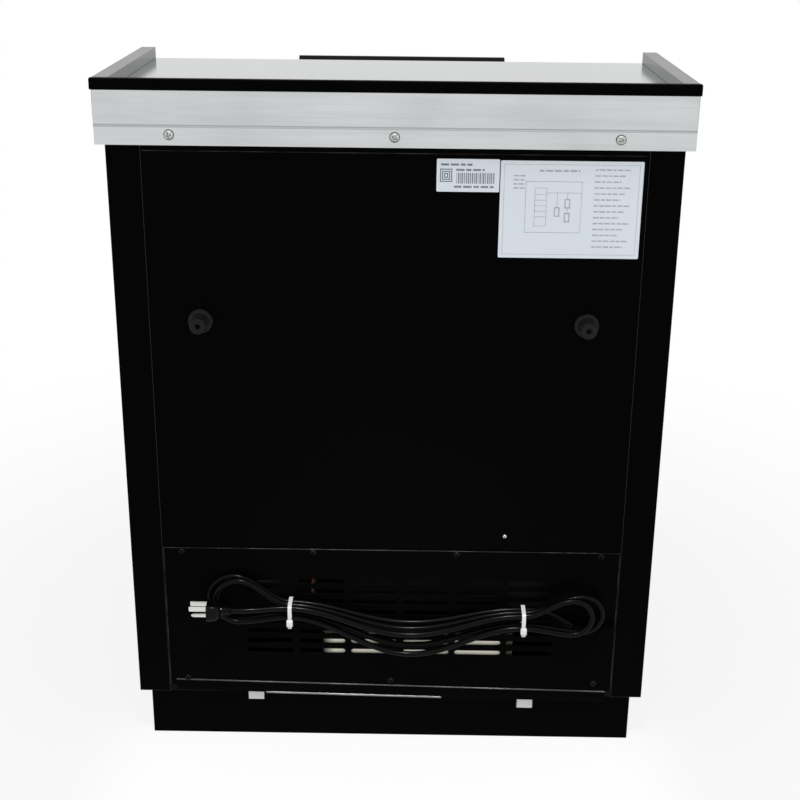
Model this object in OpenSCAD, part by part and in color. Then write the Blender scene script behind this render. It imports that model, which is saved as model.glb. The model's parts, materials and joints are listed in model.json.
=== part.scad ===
// Under-counter bottle cooler with a raised rear shelf and one lid that slides back beneath it.
// Frame: +Z up, the front faces -Y, the vented back faces +Y, origin at the middle of the footprint.

/* [Cabinet] */
// Width across the cabinet's side panels
cabinet_w = 610; // [500:1:780]
// Depth from the front panel's face to the back panel's face
cabinet_d = 678; // [560:1:840]
// Height of the shelf's rim tops above the floor
total_h = 800; // [660:1:980]
// Height of the plinth below the cabinet
plinth_h = 65; // [50:1:90]
// Thickness of the folded sheets
sheet = 1.2; // [0.8:0.1:2]
// Thickness of the foam walls
wall = 48; // [36:1:60]

/* [Rear shelf] */
// How far the shelf reaches beyond each side of the cabinet
shelf_over = 10; // [6:1:16]
// How far the shelf reaches beyond the back panel
rear_over = 12; // [8:1:16]
// Depth of the raised shelf
shelf_d = 288; // [230:1:340]
// Height of the raised shelf's box, from the apron's lower edge to the rim tops
shelf_h = 68; // [56:1:82]
// Width of each side rim
rim_w = 17; // [12:1:24]
// Depth of the tray below the rim tops
tray_depth = 13; // [9:1:18]
// Height of the black strip along the rear edge
strip_h = 11.6; // [9:0.1:16]

/* [Lid] */
// Thickness of the sliding lid
lid_t = 28; // [22:1:36]
// Width of the lid's handle
handle_w = 306; // [220:1:400]

/* [Machine bay] */
// Height of the bay's ceiling above the floor
bay_h = 264; // [225:1:310]
// Depth of the bay from the back panel's face
bay_d = 298; // [270:1:340]
// Length of one vent slot
slot_len = 55; // [40:1:64]
// Height of one vent slot
slot_h = 6; // [4:0.5:8]

/* [Rear fittings] */
// Length of the wall bumpers beyond the back panel's face
bumper_len = 22; // [16:1:30]
// Diameter of the mains cord
cord_d = 7; // [6:0.1:7.4]

/* [Hidden] */

// Gaps: between pieces that are fixed together, and between pieces that slide
fit = 0.2;
slide = 0.3;
// Radial gap of a fan's bore or a knob's bore on its shaft
running = 0.05;
// Sides of a round that is drawn as a true curve
round_n = 48;
// Sides of a wire, of a coil's bend and of a small round that is hidden
wire_n = 16;
bend_n = 6;
hidden_n = 12;

// Main planes
total_d = cabinet_d + bumper_len;
y_front = -total_d / 2;
y_back = y_front + cabinet_d;
y_apron = y_back + rear_over;
y_shelf = y_apron - shelf_d;
half_w = cabinet_w / 2;
half_top = half_w + shelf_over;
half_shelf = half_top - 1;
z_apron = total_h - shelf_h;
z_tray = total_h - tray_depth;
z_strip = total_h - strip_h;
// Rear edge strip: its depth, and the cap that hooks over the tray's rear wall
strip_d = 9;
strip_cap = 3;
y_strip = y_apron - strip_d;

// Inside faces that the foam is poured against
x_in = half_w - sheet - fit;
y_in_front = y_front + 2 * sheet + 2 * fit;
panel_y = y_back - 2 * sheet - fit;
y_in_back = panel_y - fit;
z_in = plinth_h + sheet + fit;

// Lid levels: the deck is what the gasket closes on
lid_drop = 1;
lid_top = z_apron - lid_drop;
lid_low = lid_top - lid_t;
gasket_t = 2.4;
deck_top = lid_low - gasket_t - 2 * slide;
deck_t = 5.8;
foam_top = deck_top - deck_t - fit;

// Well: inside faces of its foam, with the step over the machine bay
liner_t = 1;
skin_gap = 0.1;
x_well = x_in - wall;
y_well_front = y_in_front + wall;
y_well_back = y_in_back - wall;
z_well = z_in + wall;
y_bay = y_back - bay_d;
y_step = y_bay - wall;
z_step = bay_h + sheet + fit + wall;
// Inside faces of the liner
x_liner = x_well - skin_gap - liner_t;
y_liner_front = y_well_front + skin_gap + liner_t;
y_liner_back = y_well_back - skin_gap - liner_t;
y_liner_step = y_step - skin_gap - liner_t;
z_liner = z_well + skin_gap + liner_t;
z_liner_step = z_step + skin_gap + liner_t;

// Side panel flanges
rear_flange = 37;
front_flange = 20;
top_flange = 22;

// Lid plan
track_t = 2;
track_in = x_in - 17;
lid_half = track_in - 5;
lid_front = y_front + 17;
lid_lap = 16;
lid_back = y_shelf + lid_lap;
lid_end_gap = 5;
lid_travel = floor(y_in_back - lid_end_gap - lid_back);
glide_len = 60;

// Machine cover
cover_half = half_w - rear_flange - 2 * fit;
cover_low = plinth_h + 9;
cover_high = bay_h - 4;
upstand_h = 27;
slot_pitch_x = slot_len + 7;
slot_pitch_z = 13.4;
slot_rows = min(8, floor((cover_high - cover_low - 75) / slot_pitch_z));
slot_columns = 6;
slot_low = cover_low + 50;
slot_middle = -11;

// Screws: heads of the cover's, the apron's and the back panel's
head_d = 8;
apron_head_d = 10;
back_head_d = 5;
shank_d = 3.4;
shank_len = 6;
hole_d = 3.8;
apron_screw_x = cabinet_w * 0.385;
apron_screw_z = z_apron + 11;
apron_crease = z_apron + 20;
apron_lean = 1.8;
groove = 1.2;
groove_half = 1.5;
cover_screw_x = [-cover_half + 22, -cabinet_w * 0.125, cabinet_w * 0.15, cover_half - 22];
cover_screw_top = cover_high - 5;
cover_screw_low = cover_low + 10;
back_screw_x = -cabinet_w * 0.216;
back_screw_z = bay_h + 15;

// Wall bumpers
bumper_x = cabinet_w * 0.348;
bumper_z = total_h - 263;
bumper_flange_d = 24;
bumper_stem_d = 8;

// White pads in the plinth's rear wall
plinth_in = 12;
plinth_half = half_w - plinth_in;
plinth_front = y_front + 20;
plinth_back = y_back - 10;
plinth_t = 2;
plinth_top = plinth_h - fit;
plinth_lip = 28;
pad_x = cabinet_w * 0.27;
pad_w = 19;
pad_h = 16;
pad_depth = 12;
// Each pad's place along X and its top
pads = [[pad_x, plinth_top], [-pad_x, plinth_top - 7]];

// Mains cord: two and a half turns of a long hank, tied at two waists and laid on the cover
cord_r = cord_d / 2;
hank_step = cord_d + 0.9;
hank_y = y_back + 1.5 + cord_r;
tie_x = [-cabinet_w * 0.256, cabinet_w * 0.194];
tie_z = [cover_low + 104, cover_low + 110.5];
waist = cord_d + 1;
left_loop_z = tie_z[1] + 12;
right_loop_z = tie_z[0] + 7;
// Per turn: sag of the upper run, sag of the lower run, radius and reach of each end loop
upper_sag = [22, 26, 30];
lower_sag = [34, 42];
left_r = [29, 27];
left_reach = [67, 61];
right_r = [23, 22];
right_reach = [70, 58];
run_rings = 14;
climb_rings = 6;
bend_rings = 12;
gland_x = -cover_half + 12;
gland_z = cover_low + 84;
gland_w = 18;
gland_h = 16;
gland_shank_d = 16;
lead_start = [gland_x + gland_w / 2 + skin_gap, hank_y, gland_z];
hank_start = [tie_x[0] - 9, hank_y, tie_z[0] + waist];
lead_end = hank_start - [skin_gap, 0, 0];
plug_y = hank_y + 2 * hank_step + 9;
plug_z = tie_z[1] + waist + 1;
plug_x = tie_x[1] + 68;
plug_len = 16;
plug_w = 25;
plug_h = 22;
neck_len = 12;
tie_w = 4.6;
tie_t = 1.3;

// Condenser set in the bay
condenser_x = -75;
condenser_half = 122;
condenser_y = y_back - 103;
condenser_d = 38;
condenser_low = z_in + 14;
condenser_high = bay_h - 12;
condenser_z = (condenser_low + condenser_high) / 2;
fan_r = min(66, (condenser_high - condenser_low) / 2 - 12);
shaft_d = 6;
collar_gap = 5;
shroud_y = condenser_y - fit - sheet;
fan_front = shroud_y - 30;
hub_len = 22;
motor_front = fan_front - 44;
motor_len = 36;
compressor_x = half_w - 133;
compressor_y = y_bay + 132;
compressor_r = 72;
mount_h = 14;
mount_x = 74;
mount_y = 50;
foot_t = 3;
mount_stem_d = 9;

// Evaporator set in the well's upper back
evap_cover_y = y_well_back - 116;
evap_low = z_liner_step + fit;
evap_high = foam_top - 48;
evap_fan_z = evap_high - 92;
evap_fan_r = 62;
evap_fan_y = evap_cover_y + sheet + 8;
evap_motor_y = evap_fan_y + 30;
deck_low = evap_high + fit;
stat_x = x_liner - 64;
stat_z = evap_high - 50;
stat_w = 56;
stat_d = 28;
knob_d = 34;
knob_len = 16;

// Wire pieces
wire_d = 4;
rack_half = x_liner - 8;
rack_front = y_liner_front + 8;
rack_back = y_liner_step - 8;
rack_z = z_liner + fit + wire_d / 2;
divider_x = rack_half / 3;
divider_low = rack_z + wire_d * 1.3 + fit;
divider_high = z_liner_step + 170;
divider_wires = 8;

// A box between two corners given per axis
module slab(x, y, z) {
    translate([x[0], y[0], z[0]])
        cube([x[1] - x[0], y[1] - y[0], z[1] - z[0]]);
}

// A round bar along one axis from a start point
module bar_x(start, length, d, n = round_n) {
    translate(start)
        rotate([0, 90, 0])
            cylinder(d = d, h = length, $fn = n);
}

module bar_y(start, length, d, n = round_n) {
    translate(start)
        rotate([-90, 0, 0])
            cylinder(d = d, h = length, $fn = n);
}

module bar_z(start, length, d, n = round_n) {
    translate(start)
        cylinder(d = d, h = length, $fn = n);
}

// A flat shape in X and Z, given thickness from y0 backwards to y1
module plate_y(y0, y1) {
    translate([0, y1, 0])
        rotate([90, 0, 0])
            linear_extrude(height = y1 - y0)
                children();
}

// A profile in Y and Z carried along X
module along_x(x0, x1) {
    translate([x0, 0, 0])
        rotate([90, 0, 90])
            linear_extrude(height = x1 - x0)
                children();
}

module mirrored(on) {
    mirror([on ? 1 : 0, 0, 0])
        children();
}

// Curves: unit vectors, a smooth line through chosen points, and a tube swept along points
function unit(v) = v / norm(v);

function blend(a, b, c, d, t) =
    0.5 * (2 * b + (c - a) * t + (2 * a - 5 * b + 4 * c - d) * t * t + (3 * b - a - 3 * c + d) * t * t * t);

function smooth_line(p, steps) = concat(
    [for (i = [0:len(p) - 2]) for (s = [0:steps - 1])
        blend(p[max(i - 1, 0)], p[i], p[i + 1], p[min(i + 2, len(p) - 1)], s / steps)],
    [p[len(p) - 1]]);

function headings(p) = [for (i = [0:len(p) - 1]) unit(p[min(i + 1, len(p) - 1)] - p[max(i - 1, 0)])];

function side_of(t) = unit(cross(t, abs(t[2]) < 0.9 ? [0, 0, 1] : [1, 0, 0]));

function flattened(n, t) = unit(n - t * (n * t));

function carried(t) = [
    for (i = 0, n = side_of(t[0]); i < len(t);
         n = flattened(n, t[min(i + 1, len(t) - 1)]), i = i + 1) n];

module tube(p, d, sides) {
    t = headings(p);
    n = carried(t);
    last = len(p) - 1;
    points = [for (i = [0:last]) for (k = [0:sides - 1])
        p[i] + d / 2 * (cos(360 * k / sides) * n[i] + sin(360 * k / sides) * cross(t[i], n[i]))];
    skin = [for (i = [0:last - 1]) for (k = [0:sides - 1]) for (half = [0, 1])
        let (a = i * sides + k, b = i * sides + (k + 1) % sides)
        half == 0 ? [a, a + sides, b] : [b, a + sides, b + sides]];
    ends = [[for (k = [0:sides - 1]) k], [for (k = [sides - 1:-1:0]) last * sides + k]];
    polyhedron(points = points, faces = concat(ends, skin));
}

// A pan-head screw with a cross recess, its head towards +Y and its seat at the given point
module pan_screw(seat, d) {
    head_h = d * 0.3;
    difference() {
        union() {
            bar_y(seat, head_h, d, 24);
            bar_y(seat - [0, shank_len, 0], shank_len + head_h / 2, shank_d, hidden_n);
        }
        for (turn = [0, 90])
            translate(seat + [0, head_h, 0])
                rotate([0, turn, 0])
                    cube([d * 0.6, head_h * 0.8, d / 8], center = true);
    }
}

module screw_hole(seat) {
    bar_y(seat - [0, shank_len + 2, 0], shank_len + 4, hole_d, hidden_n);
}

apron_screws = [for (x = [-apron_screw_x, 0, apron_screw_x]) [x, y_apron, apron_screw_z]];
back_screw = [back_screw_x, panel_y + sheet, back_screw_z];
cover_screw_seats = concat(
    [for (x = cover_screw_x) [x, y_back, cover_screw_top]],
    [for (x = [cover_screw_x[0], 0, cover_screw_x[3]]) [x, y_back, cover_screw_low]]);

// Base and cabinet shell
module plinth_frame() {
    color("#151516")
        difference() {
            slab([-plinth_half, plinth_half], [plinth_front, plinth_back], [0, plinth_top]);
            slab([-plinth_half + plinth_t, plinth_half - plinth_t],
                 [plinth_front + plinth_t, plinth_back - plinth_t], [plinth_t, plinth_top - plinth_t]);
            slab([-plinth_half + plinth_lip, plinth_half - plinth_lip],
                 [plinth_front + plinth_lip, plinth_back - plinth_lip], [-1, plinth_top + 1]);
            for (pad = pads)
                slab([pad[0] - pad_w / 2 - fit, pad[0] + pad_w / 2 + fit],
                     [plinth_back - pad_depth - fit, plinth_back + 1], [pad[1] - pad_h - fit, pad[1] + fit]);
        }
}

module spacer_pads() {
    color("#eeeeea")
        for (pad = pads)
            slab([pad[0] - pad_w / 2, pad[0] + pad_w / 2], [plinth_back - pad_depth, plinth_back + 1],
                 [pad[1] - pad_h, pad[1]]);
}

module base_pan() {
    color("#1b1b1d")
        difference() {
            union() {
                slab([-x_in, x_in], [y_in_front, panel_y + sheet], [plinth_h, plinth_h + sheet]);
                slab([-cover_half, cover_half], [panel_y, panel_y + sheet], [plinth_h, plinth_h + upstand_h]);
            }
            for (seat = cover_screw_seats)
                screw_hole(seat);
        }
}

module side_panel(on) {
    color("#161617")
        mirrored(on)
            union() {
                slab([half_w - sheet, half_w], [y_front + sheet + fit, y_back], [plinth_h, z_apron + sheet]);
                slab([half_w - rear_flange, half_w], [y_back - sheet, y_back], [plinth_h, z_apron + sheet]);
                slab([half_w - front_flange, half_w], [y_front + sheet + fit, y_front + 2 * sheet + fit],
                     [plinth_h, z_apron + sheet]);
                slab([half_w - top_flange, half_w], [y_front + sheet + fit, y_back],
                     [z_apron, z_apron + sheet]);
            }
}

module side_panel_left() {
    side_panel(true);
}

module side_panel_right() {
    side_panel(false);
}

module front_panel() {
    color("#161617") {
        slab([-half_w, half_w], [y_front, y_front + sheet], [plinth_h, lid_top]);
        slab([-half_w + front_flange + fit, half_w - front_flange - fit], [y_front, lid_front - 2],
             [lid_top - sheet, lid_top]);
    }
}

module back_panel() {
    flange_half = half_w - top_flange - 1;
    color("#161617")
        difference() {
            union() {
                slab([-half_w + 15, half_w - 15], [panel_y, panel_y + sheet],
                     [cover_high - 10, z_apron - fit]);
                slab([-flange_half, flange_half], [panel_y, panel_y + sheet],
                     [cover_high, z_apron + sheet]);
                slab([-flange_half, flange_half], [panel_y - 16, panel_y + sheet],
                     [z_apron, z_apron + sheet]);
            }
            for (side = [-1, 1])
                bar_y([side * bumper_x, panel_y - 1, bumper_z], 4, bumper_stem_d + 2 * fit);
            screw_hole(back_screw);
            for (seat = cover_screw_seats)
                screw_hole(seat);
        }
}

module wall_bumpers() {
    flange_h = 5;
    nose_d = 15;
    nose_len = bumper_len + sheet + fit;
    color("#3a3a3c")
        for (side = [-1, 1])
            translate([side * bumper_x, panel_y + sheet, bumper_z])
                rotate([-90, 0, 0])
                    rotate_extrude($fn = round_n)
                        polygon([
                            [0, -sheet], [bumper_stem_d / 2, -sheet], [bumper_stem_d / 2, 0],
                            [bumper_flange_d / 2, 0], [bumper_flange_d / 2, flange_h - 1],
                            [bumper_flange_d / 2 - 1, flange_h], [nose_d / 2 + 1.5, flange_h],
                            [nose_d / 2, nose_len - 1], [nose_d / 2 - 1, nose_len],
                            [3, nose_len], [3, 8], [0, 8]]);
}

module slot_shape() {
    square([slot_len - slot_h, slot_h], center = true);
    for (end = [-1, 1])
        translate([end * (slot_len - slot_h) / 2, 0])
            circle(d = slot_h, $fn = 24);
}

module tie_slots() {
    for (i = [0, 1], side = [-1, 1])
        translate([tie_x[i], tie_z[i] + side * (waist + cord_r + fit + tie_t / 2)])
            square([tie_w + 1, tie_t + 0.8], center = true);
}

module machine_cover() {
    color("#161617")
        plate_y(y_back - sheet, y_back)
            difference() {
                translate([-cover_half, cover_low])
                    square([2 * cover_half, cover_high - cover_low]);
                for (column = [0:slot_columns - 1], row = [0:slot_rows - 1])
                    translate([slot_middle + (column - (slot_columns - 1) / 2) * slot_pitch_x,
                               slot_low + row * slot_pitch_z])
                        slot_shape();
                tie_slots();
                translate([gland_x, gland_z])
                    circle(d = gland_shank_d + 0.6, $fn = round_n);
                for (seat = cover_screw_seats)
                    translate([seat[0], seat[2]])
                        circle(d = hole_d, $fn = hidden_n);
            }
}

module cover_screws() {
    color("#222224")
        for (seat = cover_screw_seats)
            pan_screw(seat, head_d);
}

module bright_screws() {
    color("#d8d8d6")
        union() {
            for (seat = apron_screws)
                pan_screw(seat, apron_head_d);
            pan_screw(back_screw, back_head_d);
        }
}

// Raised rear shelf
module shelf_tray() {
    inner = half_shelf - rim_w - fit;
    color("#c4c8c9")
        union() {
            slab([-inner, inner], [y_shelf, y_strip + sheet], [z_tray - sheet, z_tray]);
            slab([-inner, inner], [y_shelf, y_shelf + sheet], [lid_top + 5, z_tray]);
            slab([-inner, inner], [y_strip, y_strip + sheet], [z_tray - sheet, total_h - strip_cap - fit]);
        }
}

module shelf_cheek(on) {
    outer = half_shelf;
    inner = half_shelf - rim_w;
    rear = y_strip - fit;
    color("#c4c8c9")
        mirrored(on)
            union() {
                slab([outer - sheet, outer], [y_shelf, y_apron - 4], [z_apron, z_strip - fit]);
                slab([outer - sheet, outer], [y_shelf, rear], [z_apron, total_h]);
                slab([half_w + fit, outer], [y_shelf, y_apron - 4], [z_apron, z_apron + sheet]);
                slab([inner, outer], [y_shelf, rear], [total_h - sheet, total_h]);
                slab([inner, inner + sheet], [y_shelf, rear], [z_tray - sheet, total_h]);
                slab([inner, outer], [y_shelf, y_shelf + sheet], [lid_top + 5, total_h]);
            }
}

module shelf_cheek_left() {
    shelf_cheek(true);
}

module shelf_cheek_right() {
    shelf_cheek(false);
}

// The apron's face in Y and Z: a flat foot, a pressed groove and a part that leans in
function apron_line(inset) = [
    [y_apron - inset, z_apron], [y_apron - inset, apron_crease - groove_half],
    [y_apron - inset - groove, apron_crease], [y_apron - inset - groove / 3, apron_crease + groove_half],
    [y_apron - inset - apron_lean, z_strip - fit]];

module rear_apron() {
    color("#c9cccc")
        difference() {
            along_x(-half_shelf + 1, half_shelf - 1)
                polygon(concat(apron_line(0), backwards(apron_line(sheet))));
            for (seat = apron_screws)
                screw_hole(seat);
        }
}

module rear_edge_strip() {
    bead = 2;
    inner = y_strip + sheet + fit;
    color("#121213")
        along_x(-half_top, half_top)
            polygon([
                [y_apron, z_strip], [y_apron, total_h - bead], [y_apron - bead * 0.3, total_h - bead * 0.3],
                [y_apron - bead, total_h], [y_strip, total_h], [y_strip, total_h - strip_cap],
                [inner, total_h - strip_cap], [inner, z_strip]]);
}

module shelf_bracket(on) {
    web = x_in - 2;
    low = z_apron + sheet + fit;
    high = z_tray - sheet - fit;
    y = [y_shelf + 4, y_apron - 20];
    color("#9fa3a4")
        mirrored(on)
            union() {
                slab([web - sheet, web], y, [low, high]);
                slab([half_w - top_flange, web], y, [low, low + sheet]);
                slab([half_w - top_flange, web], y, [high - sheet, high]);
            }
}

module shelf_bracket_left() {
    shelf_bracket(true);
}

module shelf_bracket_right() {
    shelf_bracket(false);
}

module shelf_rear_rail() {
    low = z_apron + sheet + fit;
    rear = y_apron - sheet - fit;
    color("#9fa3a4")
        difference() {
            union() {
                slab([-x_in, x_in], [rear - sheet, rear], [low, apron_crease - 2 * groove_half]);
                slab([-x_in, x_in], [panel_y - 4, rear], [low, low + sheet]);
            }
            for (seat = apron_screws)
                screw_hole(seat);
        }
}

// Deck round the well's mouth and the fixed insulated deck under the shelf
module deck_frame() {
    color("#1d1d1f")
        difference() {
            slab([-x_in, x_in], [y_in_front, y_in_back], [deck_top - deck_t, deck_top]);
            slab([-x_liner, x_liner], [y_liner_front, y_shelf], [deck_top - deck_t - 1, deck_top + 1]);
        }
}

module rear_deck() {
    color("#b9bdbe")
        slab([-x_liner + fit, x_liner - fit], [y_shelf + fit, y_liner_back - fit],
             [deck_low, deck_top - deck_t - fit]);
}

module lid_track(on) {
    low = deck_top + fit;
    high = z_apron - fit;
    color("#202022")
        mirrored(on)
            along_track()
                polygon([
                    [track_in, low], [x_in, low], [x_in, high], [track_in + 2, high],
                    [track_in + 2, high - track_t], [x_in - track_t, high - track_t],
                    [x_in - track_t, low + track_t], [track_in, low + track_t]]);
}

// A profile in X and Z carried along Y over the length of the lid's tracks
module along_track() {
    plate_y(y_in_front + 2, y_in_back - 1)
        children();
}

module lid_track_left() {
    lid_track(true);
}

module lid_track_right() {
    lid_track(false);
}

// Sliding lid
module lid_skin() {
    skirt = 20;
    color("#c4c8c9")
        difference() {
            slab([-lid_half, lid_half], [lid_front, lid_back], [lid_top - skirt, lid_top]);
            slab([-lid_half + sheet, lid_half - sheet], [lid_front + sheet, lid_back - sheet],
                 [lid_top - skirt - 1, lid_top - sheet]);
        }
}

module lid_foam() {
    edge = sheet + fit;
    color("#e6d8a8")
        slab([-lid_half + edge, lid_half - edge], [lid_front + edge, lid_back - edge],
             [lid_low + sheet + fit, lid_top - sheet - fit]);
}

module lid_liner() {
    edge = sheet + fit;
    color("#d9dbd9")
        slab([-lid_half + edge, lid_half - edge], [lid_front + edge, lid_back - edge],
             [lid_low, lid_low + sheet]);
}

module lid_gasket() {
    lap = 5;
    width = 8;
    color("#2a2a2c")
        difference() {
            slab([-x_liner - lap - width, x_liner + lap + width],
                 [y_liner_front - lap - width, y_shelf + lap + width], [lid_low - gasket_t, lid_low]);
            slab([-x_liner - lap, x_liner + lap], [y_liner_front - lap, y_shelf + lap],
                 [lid_low - gasket_t - 1, lid_low + 1]);
        }
}

module lid_glides() {
    low = deck_top + fit + track_t + slide;
    high = z_apron - fit - track_t - slide;
    color("#e4e4e0")
        for (side = [0, 1], y = [lid_front + 6, lid_back - glide_len - 6])
            mirrored(side == 1)
                slab([lid_half + fit, x_in - track_t - slide], [y, y + glide_len], [low, high]);
}

module lid_handle() {
    base = lid_top + fit;
    y = lid_front;
    color("#141415")
        along_x(-handle_w / 2, handle_w / 2)
            polygon([
                [y + 3, base], [y + 30, base], [y + 30, base + 2.5], [y + 16, base + 4], [y + 11, base + 9],
                [y + 8, base + 15], [y + 4, base + 17], [y - 1, base + 16.5], [y - 3, base + 14],
                [y - 1, base + 12], [y + 3, base + 10], [y + 4, base + 6]]);
}

// Insulated well
module foam_side(on) {
    color("#e6d8a8")
        mirrored(on)
            along_x(x_well, x_in)
                polygon([
                    [y_in_front, z_in], [y_bay - fit, z_in], [y_bay - fit, bay_h + sheet + fit],
                    [y_in_back, bay_h + sheet + fit], [y_in_back, foam_top], [y_in_front, foam_top]]);
}

module foam_left() {
    foam_side(true);
}

module foam_right() {
    foam_side(false);
}

module foam_floor() {
    color("#e6d8a8")
        slab([-x_well + fit, x_well - fit], [y_in_front, y_bay - fit], [z_in, z_well]);
}

module foam_front() {
    color("#e6d8a8")
        slab([-x_well + fit, x_well - fit], [y_in_front, y_well_front], [z_well + fit, foam_top]);
}

module foam_rear() {
    color("#e6d8a8")
        slab([-x_well + fit, x_well - fit], [y_well_back, y_in_back], [z_step + fit, foam_top]);
}

module foam_step() {
    low = bay_h + sheet + fit;
    color("#e6d8a8")
        difference() {
            along_x(-x_well + fit, x_well - fit)
                polygon([
                    [y_step, z_well + fit], [y_bay - fit, z_well + fit], [y_bay - fit, low],
                    [y_in_back, low], [y_in_back, z_step], [y_step, z_step]]);
            screw_hole(back_screw);
        }
}

module well_profile(grow, high) {
    polygon([
        [y_liner_front - grow, z_liner - grow], [y_liner_step + grow, z_liner - grow],
        [y_liner_step + grow, z_liner_step - grow], [y_liner_back + grow, z_liner_step - grow],
        [y_liner_back + grow, high], [y_liner_front - grow, high]]);
}

module well_liner() {
    color("#c9cdcd")
        difference() {
            along_x(-x_liner - liner_t, x_liner + liner_t)
                well_profile(liner_t, foam_top);
            along_x(-x_liner, x_liner)
                well_profile(0, foam_top + 1);
        }
}

module bay_sheet() {
    color("#a9adad")
        along_x(-x_in, x_in)
            polygon([
                [y_bay, z_in], [y_bay + sheet, z_in], [y_bay + sheet, bay_h], [y_in_back, bay_h],
                [y_in_back, bay_h + sheet], [y_bay, bay_h + sheet]]);
}

// Wire rack on the well's floor and the two lift-out dividers
module floor_rack() {
    long_wires = 12;
    color("#e2e4e2") {
        for (i = [0:long_wires])
            bar_y([-rack_half + i * 2 * rack_half / long_wires, rack_front, rack_z + wire_d * 0.8],
                  rack_back - rack_front, wire_d, wire_n);
        for (i = [0:3])
            bar_x([-rack_half - 2, rack_front + 8 + i * (rack_back - rack_front - 16) / 3, rack_z],
                  2 * rack_half + 4, wire_d, wire_n);
    }
}

module divider(x) {
    front = rack_front + 10;
    back = rack_back - 10;
    color("#e2e4e2") {
        for (i = [0:divider_wires])
            bar_z([x, front + i * (back - front) / divider_wires, divider_low], divider_high - divider_low,
                  wire_d, wire_n);
        for (z = [divider_low + 20, (divider_low + divider_high) / 2, divider_high - 4])
            bar_y([x + wire_d * 0.7, front - 4, z], back - front + 8, wire_d, wire_n);
    }
}

module divider_left() {
    divider(-divider_x);
}

module divider_right() {
    divider(divider_x);
}

// Evaporator set behind its cover in the well's upper back
module evaporator_cover() {
    mouth = evap_fan_r + collar_gap;
    color("#d5d8d7")
        union() {
            plate_y(evap_cover_y, evap_cover_y + sheet)
                difference() {
                    translate([-x_liner + fit, evap_low])
                        square([2 * (x_liner - fit), evap_high - evap_low]);
                    translate([0, evap_fan_z])
                        circle(r = mouth, $fn = round_n);
                    for (i = [-3:3])
                        translate([i * 64, evap_low + 22])
                            square([50, 9], center = true);
                }
            for (side = [0, 1])
                mirrored(side == 1)
                    slab([x_liner - fit - sheet, x_liner - fit], [evap_cover_y, evap_cover_y + 18],
                         [evap_low, evap_high]);
        }
}

// A finned block in plan, its fins standing in X and joined by a spine
module fin_comb(half, depth, fins) {
    spine = 6;
    pitch = 2 * half / fins;
    translate([-half, depth - spine])
        square([2 * half, spine]);
    for (i = [0:fins])
        translate([-half + i * pitch - 1, 0])
            square([2, depth]);
}

module return_bends(x, y, rows, low, pitch, lean) {
    for (i = [0:rows - 1])
        translate([x, y, low + i * pitch])
            rotate([90, 0, lean])
                rotate_extrude(angle = 180, $fn = hidden_n)
                    translate([pitch / 4, 0])
                        circle(d = 7, $fn = bend_n);
}

module evaporator_coil() {
    half = x_liner - 60;
    depth = 54;
    y = evap_cover_y + 34;
    high = evap_fan_z - evap_fan_r - 24;
    color("#c2c6c6")
        union() {
            translate([0, y, evap_low + 12])
                linear_extrude(height = high - evap_low - 12)
                    fin_comb(half, depth, 34);
            for (side = [-1, 1])
                slab([side * half - 3, side * half + 3], [y - 2, y + depth + 2], [evap_low, high + 3]);
        }
}

module evaporator_motor() {
    arm = evap_fan_r + collar_gap + 8;
    color("#34363a")
        union() {
            bar_y([0, evap_motor_y, evap_fan_z], 34, 52);
            bar_y([0, evap_fan_y, evap_fan_z], evap_motor_y - evap_fan_y + 1, shaft_d);
            slab([-arm, arm], [evap_motor_y + 8, evap_motor_y + 14], [evap_fan_z - 6, evap_fan_z + 6]);
            for (side = [-1, 1])
                slab([side * arm - 3, side * arm + 3], [evap_cover_y + sheet + fit, evap_motor_y + 14],
                     [evap_fan_z - 6, evap_fan_z + 6]);
        }
}

// An axial fan on a shaft along Y: hub with a through bore and pitched blades
module fan_wheel(centre, radius, blades) {
    hub_r = 17;
    blade_w = 40;
    blade_t = 1.6;
    blade_lean = 28;
    root = hub_r - 3;
    blade_len = sqrt(radius * radius - blade_w * blade_w / 4) - root;
    translate(centre)
        difference() {
            union() {
                bar_y([0, 0, 0], hub_len, 2 * hub_r);
                for (i = [0:blades - 1])
                    rotate([0, i * 360 / blades, 0])
                        translate([0, hub_len / 2, root])
                            rotate([0, 0, blade_lean])
                                translate([-blade_w / 2, -blade_t / 2, 0])
                                    cube([blade_w, blade_t, blade_len]);
            }
            bar_y([0, -1, 0], hub_len + 2, shaft_d + 2 * running);
        }
}

module evaporator_fan() {
    color("#e9e9e4")
        fan_wheel([0, evap_fan_y, evap_fan_z], evap_fan_r, 5);
}

module thermostat() {
    front = evap_cover_y - fit - stat_d;
    color("#ddddd8") {
        slab([stat_x - stat_w / 2, stat_x + stat_w / 2], [front, evap_cover_y - fit],
             [stat_z - stat_w / 2, stat_z + stat_w / 2]);
        bar_y([stat_x, front - knob_len + 4, stat_z], knob_len, shaft_d);
    }
}

module thermostat_knob() {
    front = evap_cover_y - fit - stat_d;
    color("#1c1c1e")
        difference() {
            union() {
                bar_y([stat_x, front - slide - knob_len, stat_z], knob_len, knob_d);
                slab([stat_x - 2, stat_x + 2], [front - slide - knob_len - 4, front - slide - knob_len + 1],
                     [stat_z - knob_d / 2 + 3, stat_z + knob_d / 2 - 1]);
            }
            bar_y([stat_x, front - knob_len + 3, stat_z], knob_len + 4, shaft_d + 2 * running);
        }
}

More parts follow.
